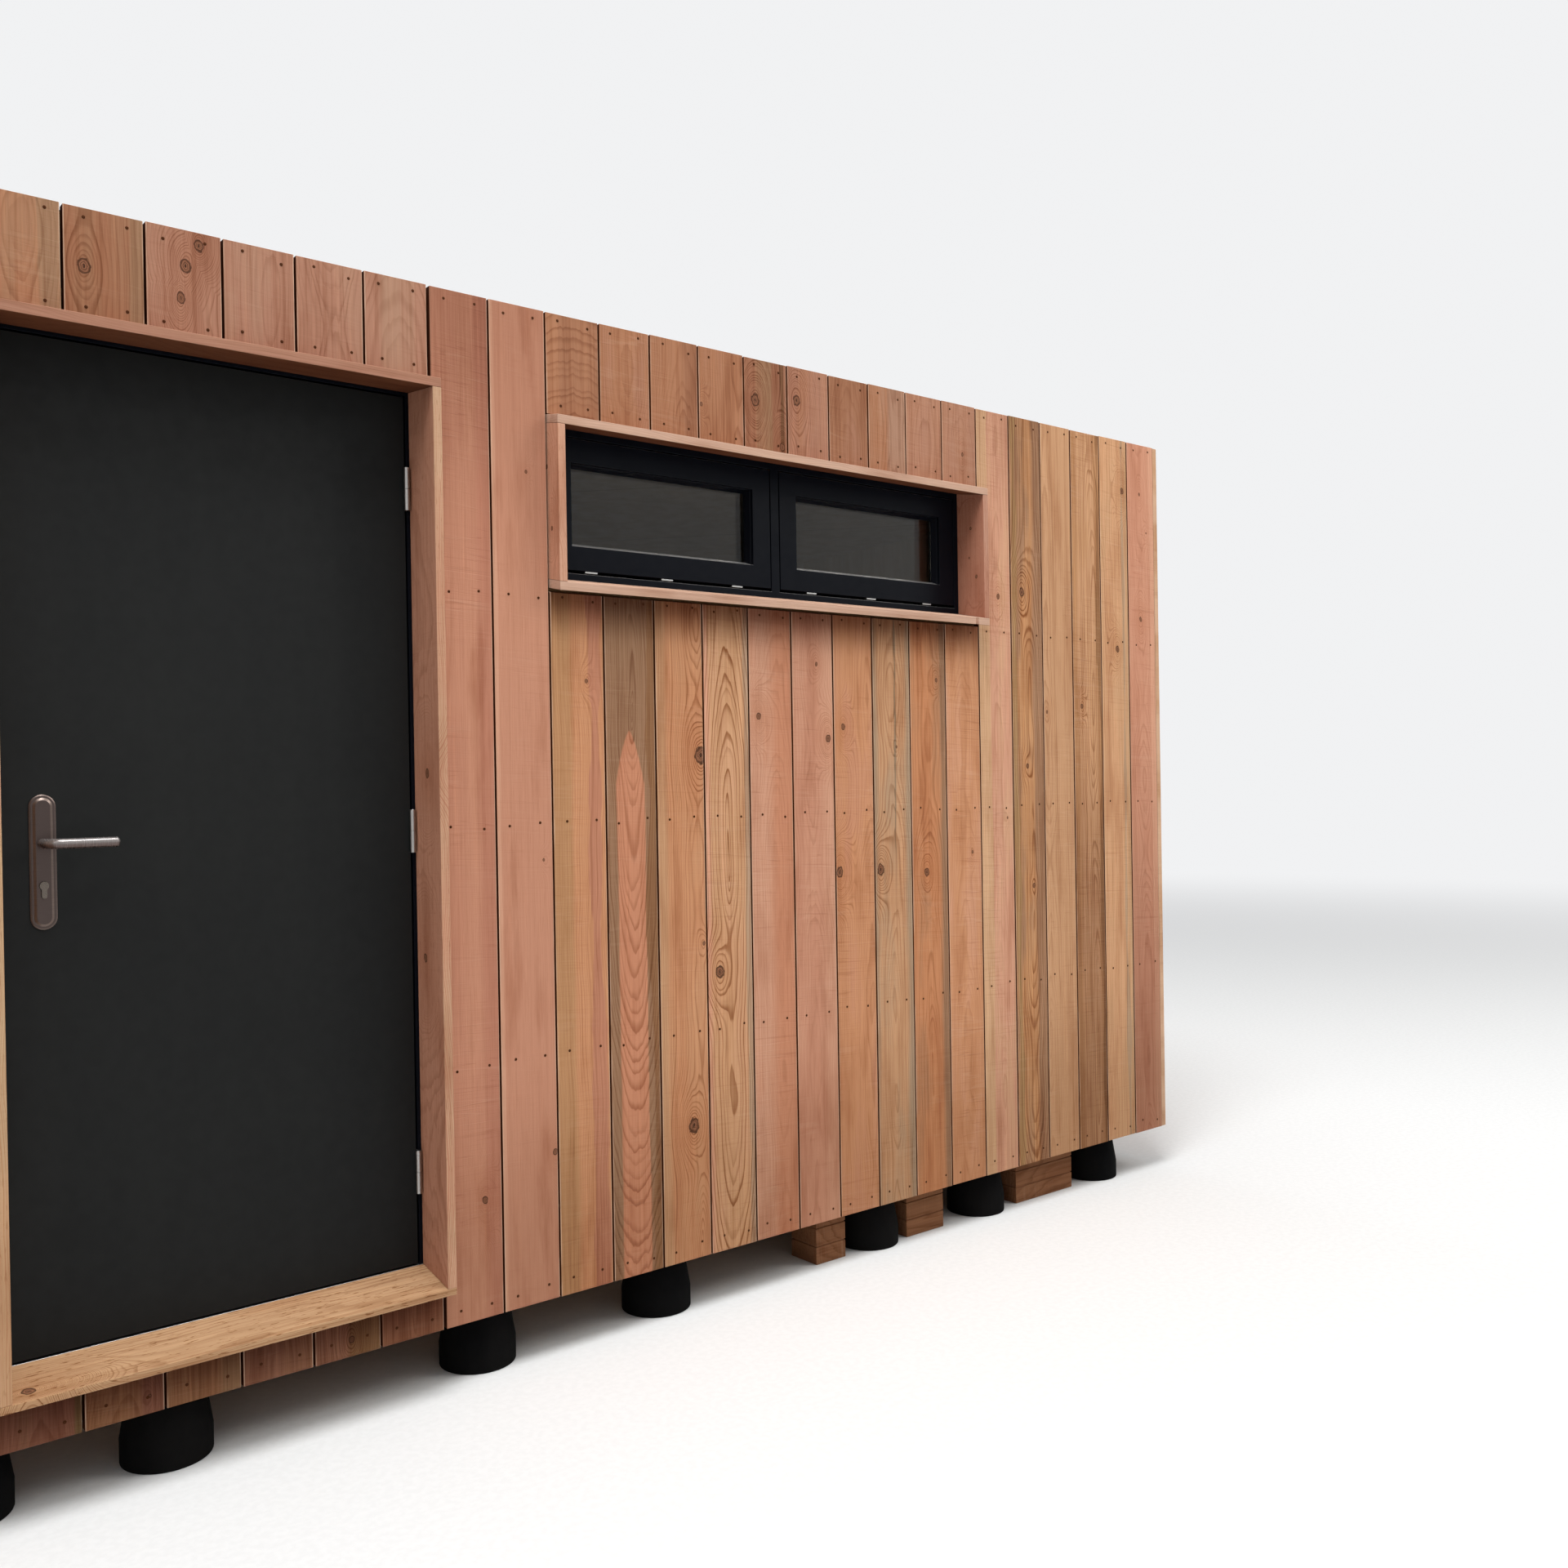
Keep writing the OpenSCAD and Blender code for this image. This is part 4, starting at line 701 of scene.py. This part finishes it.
# The pieces over the door and the window
aboveLooks = {
    2: dict(tone="tawny", edge="bronze", bands=(-0.2, 0.030, 0.005)),
    3: dict(tone="chestnut", edge="bronze", bands=(-0.2, 0.050, 0.006), rings=(-0.035, 0.008, 0.0),
            figure=(0.3, 0.35, 0.0065), knots=[(0.26, 2.387, 0.011)]),
    4: dict(tone="russet", edge="hazel", figure=(0.35, 0.35, 0.0045), cast=(0.5, 0.6, 0.4),
            knots=[(0.69, 2.474, 0.009), (0.52, 2.428, 0.010), (0.45, 2.362, 0.008)]),
    5: dict(tone="russet", edge="hazel", rings=(0.02, 0.03, 0.01), figure=(0.25, 0.4, 0.0045)),
    6: dict(tone="russet", edge="hazel", rings=(0.01, 0.02, 0.02), figure=(0.4, 0.35, 0.0055),
            cast=(0.5, 0.6, 0.4)),
    7: dict(tone="hazel", edge="russet", bands=(-0.03, 0.045, 0.010), rings=(0.01, 0.02, 0.05),
            figure=(0.45, 0.4, 0.006)),
    10: dict(tone="chestnut", edge="tawny", bands=(-0.035, 0.2, 0.006), rings=(0.012, 0.006, 0.25),
             figure=(0.5, 0.7, 0.006)),
    11: dict(tone="tawny", edge="russet", figure=(0.25, 0.8, 0.0045)),
    12: dict(tone="tawny", edge="chestnut", bands=(-0.2, 0.03, 0.004), rings=(0.03, 0.02, 0.03)),
    13: dict(tone="tawny", edge="russet", rings=(0.06, 0.02, 0.02), knots=[(0.06, 2.35, 0.004)],
             shade=0.97),
    14: dict(tone="bronze", edge="clay", streakTone="umber", bands=(-0.03, 0.025, 0.006),
             rings=(-0.02, 0.01, 0.03), figure=(0.6, 0.6, 0.006), streak=(0.060, 0.006, -1.0),
             knots=[(0.26, 2.389, 0.012), (0.87, 2.274, 0.008)]),
    15: dict(tone="russet", edge="tawny", rings=(-0.03, 0.02, 0.02), knots=[(0.22, 2.411, 0.011)]),
    16: dict(tone="chestnut", edge="russet", figure=(0.3, 0.8, 0.0045)),
    17: dict(tone="tawny", edge="hazel", bands=(-0.2, 0.0, 0.01), rings=(0.02, 0.02, 0.03)),
    18: dict(tone="rust", edge="russet", rings=(0.0, 0.02, 0.03), figure=(0.35, 0.7, 0.005)),
    19: dict(tone="rust", edge="russet", figure=(0.3, 0.8, 0.0045), knots=[(0.60, 2.35, 0.0045)]),
}


def anyLook(rng):
    # A board that the photograph doesn't show: one of the same tones and figures
    tone = rng.choice(("pink", "pink", "salmon", "orange", "peach", "tan", "ochre", "rose", "straw"))
    heart = rng.choice((rng.uniform(0.25, 0.5), 0.2, rng.uniform(0.5, 0.8)))
    look = dict(tone=tone, edge=rng.choice(("tan", "ochre", "pink", "peach", "orange")),
                streakTone=rng.choice(("brown", "rose", "olive", "grey")),
                rings=(rng.uniform(-0.10, 0.10), rng.uniform(0.008, 0.04), rng.uniform(0.005, 0.035)),
                figure=(heart, rng.uniform(0.6, 1.6), rng.uniform(0.0042, 0.0075)))
    side = rng.random()
    look["bands"] = (-0.2 if side < 0.6 else rng.uniform(-0.06, -0.03),
                     0.2 if side > 0.5 else rng.uniform(0.03, 0.06), rng.uniform(0.002, 0.012))
    look["streak"] = (rng.uniform(-0.07, 0.07), rng.uniform(0.004, 0.014) * (rng.random() < 0.3),
                      rng.uniform(-1.0, 1.2))
    look["knots"] = [(rng.uniform(0.12, 0.88), rng.uniform(0.25, 2.35), rng.uniform(0.004, 0.012))
                     for _ in range(rng.choice((0, 1, 1, 2, 3)))]
    return look


class Side:
    # One wall's outside: start is the first board's corner on the boards' faces
    def __init__(self, start, alongWall, outward):
        self.start, self.along, self.out = Vector(start), Vector(alongWall), Vector(outward)

    def at(self, s, z, d):
        # The point s along the wall, z above the ground and d behind the boards' faces
        return self.start + self.along * s - self.out * d + Vector((0.0, 0.0, z))


sides = {
    "front": Side((-endX, faceY, 0.0), (1, 0, 0), (0, -1, 0)),
    "rear": Side((-endX, rearHigh.y, 0.0), (1, 0, 0), (0, 1, 0)),
    "left": Side((leftLow.x, leftLow.y - gap / 2, 0.0), (0, 1, 0), (-1, 0, 0)),
    "right": Side((rightHigh.x, rightLow.y - gap / 2, 0.0), (0, 1, 0), (1, 0, 0)),
}


class Boards:
    # Collects the boards of one wall in a mesh
    def __init__(self, name, side):
        self.name, self.side = name, side
        self.points, self.faces, self.places, self.looks = [], [], [], []

    def add(self, outline, middle, look, inset, seed):
        # outline: (along the wall, height at the face, height at the back), anticlockwise
        first, count = len(self.points), len(outline)
        knots = [((share - 0.5) * pitch, height, size) for share, height, size in look.get("knots", ())]
        own = {**look, "knots": knots[:3], "seed": seed}
        for back in (0, 1):
            for s, zFace, zBack in outline:
                depth = boardThick if back else inset
                z = zBack if back else zFace
                self.points.append(self.side.at(s, z, depth))
                self.places.append((s - middle, z, depth))
        faces = [list(range(first, first + count)), list(range(first + 2 * count - 1, first + count - 1, -1))]
        for k in range(count):
            here, after = first + k, first + (k + 1) % count
            faces.append([after, here, here + count, after + count])
        self.faces += faces
        self.looks += [own] * len(faces)

    def build(self, material, replaced):
        obj = newPiece(self.name, self.points, self.faces, material)
        mesh = obj.data
        placeLayer(mesh, self.places)
        faceLayers(mesh, self.looks)
        work = bmesh.new()
        work.from_mesh(mesh)
        bmesh.ops.recalc_face_normals(work, faces=work.faces)
        work.to_mesh(mesh)
        work.free()
        rounded(obj, roundings["board"])
        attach(obj, "shell")
        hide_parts(replaced)


# The linings' outer faces, which the front's boards are cut round; each slopes by some degrees
doorSill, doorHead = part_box("door_sill"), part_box("door_head_lining")
windowSill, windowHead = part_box("window_sill"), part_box("window_head_lining")
slopes = {"doorSill": 11.0, "doorHead": 5.5, "windowSill": 11.5, "windowHead": 10.0}
cutGap = 0.002
sillGap = 0.009    # open joint under a sill
backY = faceY + boardThick


def slopeAt(box, top, angle, y):
    # Height of a lining's upper or lower face at y
    low, high = box
    rise = math.tan(math.radians(angle))
    return high.z - (high.y - y) * rise if top else low.z + (y - low.y) * rise


def opening(sill, head, sillSlope, headSlope):
    # The cut in the boards: left and right edge, then sill and head height at face and back
    return dict(x0=sill[0].x - cutGap, x1=sill[1].x + cutGap,
                z0=tuple(slopeAt(sill, False, sillSlope, y) - sillGap for y in (faceY, backY)),
                z1=tuple(slopeAt(head, True, headSlope, y) + cutGap for y in (faceY, backY)))


openings = [opening(doorSill, doorHead, slopes["doorSill"], slopes["doorHead"]),
            opening(windowSill, windowHead, slopes["windowSill"], slopes["windowHead"])]

# Nails in pairs: their places across a board, how far each strays, the rows' heights, how near an
# opening a row may be, and the heads. On the walls that aren't the front they sit a little deeper
nailing = {"across": (-0.0375, 0.0435), "strayAcross": 0.004, "strayUp": 0.006,
           "rows": (0.175, 0.722, 1.275, 1.815), "frontTop": 2.479, "underTop": 0.03,
           "underSill": 0.012, "clearOfHead": 0.02, "overHead": 0.024, "deeper": 0.0006,
           "radius": 0.0033, "rise": 0.0003, "corners": 12}
rng = random.Random(41)
nails = []    # each nail's place and the way it faces


def pairOfNails(side, middle, z, depth=0.0):
    for across in nailing["across"]:
        s = middle + across + rng.uniform(-nailing["strayAcross"], nailing["strayAcross"])
        up = z + rng.uniform(-nailing["strayUp"], nailing["strayUp"])
        nails.append((side.at(s, up, depth), side.out))


def outlineOf(s0, s1, z0, z1):
    return [(s0, *z0), (s1, *z0), (s1, *z1), (s0, *z1)]


# How far the boards stray, and the painted shade below the door and the painted shadow below either sill
stray = {"top": 0.0022, "foot": 0.0015, "side": 0.0008, "face": 0.0007, "otherFace": (0.0008, 0.0012)}
sillShadow = {"doorShade": 0.62, "reach": 0.12, "amount": 1.0}
besideDoor = 8    # the board that is cut round the door's lining
front = Boards("front_boards", sides["front"])
for k in range(round(2 * endX / pitch)):
    look = frontLooks.get(k) or anyLook(rng)
    top = (frontHigh.z - rng.uniform(0.0, stray["top"]),) * 2
    foot = (footZ + rng.uniform(0.0, stray["foot"]),) * 2
    s0 = k * pitch + gap / 2 + rng.uniform(0.0, stray["side"])
    s1 = (k + 1) * pitch - gap / 2 - rng.uniform(0.0, stray["side"])
    if k == besideDoor:
        s0 += 0.003    # a wider joint
    middle = (k + 0.5) * pitch
    inset = rng.uniform(0.0, stray["face"])
    seed = 3.0 + k * 1.7
    outlines, rows = [outlineOf(s0, s1, foot, top)], [*nailing["rows"], nailing["frontTop"]]
    for hole in openings:
        left, right, sill, head = hole["x0"] + endX, hole["x1"] + endX, hole["z0"], hole["z1"]
        if left <= s0 + 0.001 and right >= s1 - 0.001:    # the opening cuts the board in two
            outlines = [outlineOf(s0, s1, foot, sill), outlineOf(s0, s1, head, top)]
            rows = [z for z in rows
                    if z < sill[0] - nailing["underSill"] or z > head[0] + nailing["clearOfHead"]]
            rows += [head[0] + nailing["overHead"]]
        elif left < s0 < right < s1:    # the opening's right edge notches it
            outlines = [[(s0, *foot), (s1, *foot), (s1, *top), (s0, *top),
                         (s0, *head), (right, *head), (right, *sill), (s0, *sill)]]
    for outline, own in zip(outlines, (look, aboveLooks.get(k, look))):
        own = dict(own)
        if len(outlines) == 2 and outline is outlines[0]:    # the piece below a sill gets painted shadow and shade
            own["darkening"] = (outline[2][1], sillShadow["reach"], sillShadow["amount"])
            own["shade"] = sillShadow["doorShade"] if k < besideDoor else own.get("shade", plain["shade"])
        front.add(outline, middle, own, inset, seed)
        seed += 0.6
    for z in rows:
        pairOfNails(front.side, middle, z)
front.build(cladding, "front_cladding")

otherWalls = (("rear", rearLow, rearHigh), ("left", leftLow, leftHigh), ("right", rightLow, rightHigh))
for name, low, high in otherWalls:
    wall = Boards(name + "_boards", sides[name])
    length = (high.x - low.x if name == "rear" else high.y - low.y) + gap
    for k in range(round(length / pitch)):
        look = anyLook(rng)
        top = (high.z - rng.uniform(0.0, stray["top"]),) * 2
        foot = (footZ + rng.uniform(0.0, stray["foot"]),) * 2
        inset = rng.uniform(*stray["otherFace"])
        middle = (k + 0.5) * pitch
        wall.add(outlineOf(k * pitch + gap / 2, (k + 1) * pitch - gap / 2, foot, top),
                 middle, look, inset, 60.0 + k * 1.9 + len(name) * 7)
        for z in (*nailing["rows"], high.z - nailing["underTop"]):
            pairOfNails(wall.side, middle, z, nailing["deeper"])
    wall.build(cladding, name + "_cladding")

print("stage: cladding")


def domes(name, places, radius, rise, count):
    # Small round heads, each a low dome on its surface
    points, faces = [], []
    for place, out in places:
        side = out.orthogonal().normalized()
        other = out.cross(side)
        first = len(points)
        for ring, (r, h) in enumerate(((radius, -0.0002), (radius, rise * 0.4), (radius * 0.62, rise))):
            for k in range(count):
                a = 2 * math.pi * k / count
                points.append(place + side * math.cos(a) * r + other * math.sin(a) * r + out * h)
                if ring:
                    here = first + (ring - 1) * count + k
                    after = here - k + (k + 1) % count
                    faces.append([here, after, after + count, here + count])
        faces.append([first + 2 * count + k for k in range(count)])
    obj = newPiece(name, points, faces, nailMetal)
    for face in obj.data.polygons:
        face.use_smooth = True
    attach(obj, "shell")


domes("cladding_nails", nails, nailing["radius"], nailing["rise"], nailing["corners"])

wholeBoard = (-9.0, 9.0, 0.01)    # bands of a timber that is one tone from edge to edge
liningLooks = {
    "door_head_lining": dict(tone="russet", edge="russet", rings=(-1.28, 0.06, 0.006), seed=11.0),
    "door_sill": dict(tone="sand", edge="sand", rings=(-1.27, 0.015, 0.008), figure=(0.6, 0.1, 0.0045),
                      seed=12.0, knots=((-1.292, -1.597, 0.009),), cast=(0.0, 0.7, 0.1), flecks=0.9),
    "window_head_lining": dict(tone="shell", edge="shell", rings=(-1.25, 0.04, 0.006), seed=13.0),
    "window_sill": dict(tone="shell", edge="shell", rings=(-1.25, 0.05, 0.006), seed=14.0),
}
planed = dict(bands=wholeBoard, figure=(0.25, 0.1, 0.005), cast=(0.0, 0.3, 0.1))
for name, look in liningLooks.items():
    woodenNode(name, (1, 0, 2), {**planed, **look}, lining)
    soften(cad[name], roundings["lining"])

# Each pair of jambs: the left one's tone, the right one's, that of their front edges, and an x between
jambLooks = {
    "door_jamb_linings": dict(left="tan", right="pink", edge="drift", middle=-1.2,
                              knots=((-1.262, 1.40, 0.0075), (-1.236, 0.98, 0.0075))),
    "window_jamb_linings": dict(left="peach", right="rose", edge="shell", middle=0.3,
                                knots=((-1.27, 2.13, 0.004), (-1.29, 1.98, 0.004), (-1.262, 2.04, 0.003))),
}
liningProud = 0.0485    # how far the jambs stand in front of the boards
jambEdge = (faceY - liningProud - 0.0005, 9.0, 0.003)    # bands that give the front edge a tone of its own
for name, jamb in jambLooks.items():
    def jambLook(centre, jamb=jamb):
        isLeft = centre.x < jamb["middle"]
        return dict(tone=jamb["left" if isLeft else "right"], seed=21.0 + 4.0 * isLeft, edge=jamb["edge"],
                    knots=() if isLeft and jamb["middle"] < 0 else jamb["knots"], bands=jambEdge)
    woodenNode(name, (1, 2, 0), dict(rings=(-1.20, 0.03, 0.012), figure=(0.3, 0.3, 0.005),
                                     cast=(0.0, 0.35, 0.1), flecks=0.3), lining, jambLook)
    soften(cad[name], roundings["lining"])

# The rough timbers' tones, and their axes across, along and into the wood
roughTimbers = {
    "middle_bearer": ("deal", (1, 0, 2)), "long_rims": ("deal", (2, 0, 1)), "end_rims": ("deal", (2, 1, 0)),
    "floor_joists": ("deal", (2, 1, 0)), "front_kerb": ("deal", (2, 0, 1)), "side_kerbs": ("deal", (2, 1, 0)),
    "front_battens": ("olive", (2, 0, 1)), "rear_battens": ("olive", (2, 0, 1)),
    "side_battens": ("olive", (2, 1, 0)), "timber_piers": ("red", (2, 0, 1)),
}
for name, (tone, axes) in roughTimbers.items():
    woodenNode(name, axes, dict(tone=tone, edge=tone, bands=wholeBoard, rings=(0.2, 0.02, 0.004),
                                figure=(0.5, 0.9, 0.006), seed=31.0 + len(name)), roughTimber)
    soften(cad[name], roundings["roughTimber"])

print("stage: linings and timbers")


# The other CAD nodes: material, and how far their edges are rounded
finishes = {
    "foundation_pads": (rubber, 0.003), "front_wall_panels": (wallFacing, 0.0),
    "front_wall_infills": (wallFacing, 0.0), "rear_wall": (wallFacing, 0.0), "side_walls": (wallFacing, 0.0),
    "roof_panel": (wallFacing, 0.0), "door_frame": (windowPaint, 0.0008),
    "door_threshold": (aluminium, 0.0010), "door_leaf": (leafPaint, 0.0015),
    "hinge_frame_halves": (galvanised, 0.0005), "hinge_leaf_halves": (galvanised, 0.0005),
    "handle_plates": (plateSteel, 0.0009), "lock_cylinder": (nickel, 0.0003), "levers": (steel, 0.0003),
    "window_frame": (windowPaint, 0.0012), "window_sashes": (windowPaint, 0.0014),
    "window_glass": (glass, 0.0), "sash_clips": (aluminium, 0.0008), "roof_membrane": (membrane, 0.0015),
    "roof_trim": (trimPaint, 0.0008), "gutter": (plastic, 0.0005), "gutter_brackets": (plastic, 0.0005),
    "rainwater_pipe": (plastic, 0.0005), "pipe_clips": (plastic, 0.0005),
}
for name, (material, width) in finishes.items():
    cad[name].data.materials.clear()
    cad[name].data.materials.append(material)
    soften(cad[name], width)

print("stage: finishes")


deckLow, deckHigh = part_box("floor_deck")
planks = {"width": 0.145, "length": 1.8, "sideJoint": 0.0004, "endJoint": 0.0006, "shortest": 0.02,
          "offset": 1.6, "tones": ("straw", "tan", "cream", "peach")}
deckPoints, deckFaces, deckPlaces, deckLooks = [], [], [], []
boxFaces = [[0, 1, 2, 3], [7, 6, 5, 4], [1, 0, 4, 5], [2, 1, 5, 6], [3, 2, 6, 7], [0, 3, 7, 4]]
rng = random.Random(7)
for row in range(math.ceil((deckHigh.y - deckLow.y) / planks["width"])):
    y0 = deckLow.y + row * planks["width"] + planks["sideJoint"]
    y1 = min(deckHigh.y, deckLow.y + (row + 1) * planks["width"]) - planks["sideJoint"]
    x = deckLow.x - rng.uniform(0.0, planks["offset"])    # each row starts at another place
    while x < deckHigh.x:
        x0, x1 = max(x, deckLow.x), min(x + planks["length"], deckHigh.x)
        x += planks["length"]
        if x1 - x0 < planks["shortest"]:
            continue
        x1 -= planks["endJoint"]
        first = len(deckPoints)
        tone = rng.choice(planks["tones"])
        seed = rng.uniform(0.0, 40.0)
        for z in (deckHigh.z, deckLow.z):
            for px, py in ((x0, y0), (x1, y0), (x1, y1), (x0, y1)):
                deckPoints.append((px, py, z))
                deckPlaces.append((py - (y0 + y1) / 2, px, z - deckHigh.z))
        deckFaces += [[first + n for n in face] for face in boxFaces]
        deckLooks += [dict(tone=tone, edge=tone, seed=seed, figure=(0.5, 0.0, 0.005),
                           rings=(rng.uniform(-0.1, 0.1), 0.03, 0.02))] * len(boxFaces)
deck = newPiece("floor_planks", deckPoints, deckFaces, timber("floorTimber", rough=0.45, knotted=False))
placeLayer(deck.data, deckPlaces)
faceLayers(deck.data, deckLooks)
newBevel(deck, roundings["plank"], 1)
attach(deck, "shell")
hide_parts("floor_deck")

print("stage: inside floor")


# The pale floor turns into the backdrop's colour between the two distances of fade
studio = {"backdrop": (0.88, 0.885, 0.895), "reach": 60.0, "fade": (4.5, 16.0), "skyStrength": 0.52,
          "skyLow": (0.62, 0.63, 0.66), "skyHigh": (1.0, 1.02, 1.06)}
floorMaterial, g = newMaterial("studioFloor")
place = g.coordinates()
speck = g.step(g.noise(place, scale=60.0, detail=2.0), 0.3, 0.7)
paleFloor = g.principled(color=g.blend(speck, (0.70, 0.70, 0.69), (0.73, 0.73, 0.72)), rough=0.9, shine=0.1)
distantFloor = g.named(g.put("ShaderNodeEmission"), {"Color": studio["backdrop"]})
fromMiddle = g.vector("LENGTH", g.stretched(place, (1.0, 1.0, 0.0)))
mixed = g.mixShaders(g.times(g.seen(), g.step(fromMiddle, *studio["fade"])), paleFloor, distantFloor)
g.feed(g.put("ShaderNodeOutputMaterial").inputs["Surface"], mixed)
r = studio["reach"]
studioFloor = newPiece("studio_floor", [(-r, -r, 0.0), (r, -r, 0.0), (r, r, 0.0), (-r, r, 0.0)],
                       [[0, 1, 2, 3]], floorMaterial)

world = bpy.data.worlds.new("overcast")
scene.world = world
world.use_nodes = True
world.node_tree.nodes.clear()
g = Graph(world.node_tree)
skyUp = g.step(g.parts(g.coordinates("Generated"))[2], -0.1, 0.9)
cloudy = g.blend(skyUp, studio["skyLow"], studio["skyHigh"])
light = g.named(g.put("ShaderNodeBackground"), {"Color": cloudy, "Strength": studio["skyStrength"]})
shown = g.named(g.put("ShaderNodeBackground"), {"Color": studio["backdrop"], "Strength": 1.0})
g.feed(g.put("ShaderNodeOutputWorld").inputs["Surface"], g.mixShaders(g.seen(), light, shown))

# Each lamp's place, the point it faces, its width, power and colour
lamps = {
    "sky_right": ((7.5, -6.5, 7.5), (0.8, -1.2, 1.0), 5.0, 480.0, (1.0, 0.985, 0.96)),
    "sky_left": ((-7.0, -4.0, 6.5), (-0.5, -1.0, 1.2), 5.0, 110.0, (0.95, 0.975, 1.0)),
    "sky_over": ((-1.2, -3.2, 7.5), (-0.8, -1.6, 0.0), 3.0, 460.0, (0.98, 0.99, 1.0)),
    "sky_back": ((0.6, 8.5, 6.0), (0.0, 1.2, 1.2), 5.0, 420.0, (0.98, 0.99, 1.0)),
}
for name, (place, target, width, power, color) in lamps.items():
    lamp = bpy.data.lights.new(name, "AREA")
    lamp.shape, lamp.size, lamp.energy, lamp.color = "DISK", width, power, color
    obj = bpy.data.objects.new(name, lamp)
    scene.collection.objects.link(obj)
    obj.location = place
    obj.rotation_mode = "QUATERNION"
    obj.rotation_quaternion = (Vector(target) - Vector(place)).to_track_quat("-Z", "Y")

# The photograph's viewpoint: angles in degrees, and the focal length in the picture's own pixels
viewpoint = {"place": (-2.1499, -4.2155, 1.3794), "yaw": 39.417, "tilt": -0.306, "roll": -0.921,
             "focal": 1715.0, "picture": 1920.0}
camera = bpy.data.cameras.new("camera")
camera.sensor_width = 36.0
camera.lens = camera.sensor_width * viewpoint["focal"] / viewpoint["picture"]
camera.clip_start, camera.clip_end = 0.05, 200.0
view = bpy.data.objects.new("camera", camera)
scene.collection.objects.link(view)
yaw, tilt, roll = (math.radians(viewpoint[angle]) for angle in ("yaw", "tilt", "roll"))
ahead = Vector((math.sin(yaw) * math.cos(tilt), math.cos(yaw) * math.cos(tilt), math.sin(tilt)))
level = Vector((math.cos(yaw), -math.sin(yaw), 0.0))
upward = level.cross(ahead)
rightward = level * math.cos(roll) + upward * math.sin(roll)
upward = upward * math.cos(roll) - level * math.sin(roll)
turned = Matrix((rightward, upward, -ahead)).transposed()
view.matrix_world = Matrix.Translation(viewpoint["place"]) @ turned.to_4x4()
scene.camera = view
scene.view_settings.view_transform = "Standard"

print("stage: floor, light and camera")
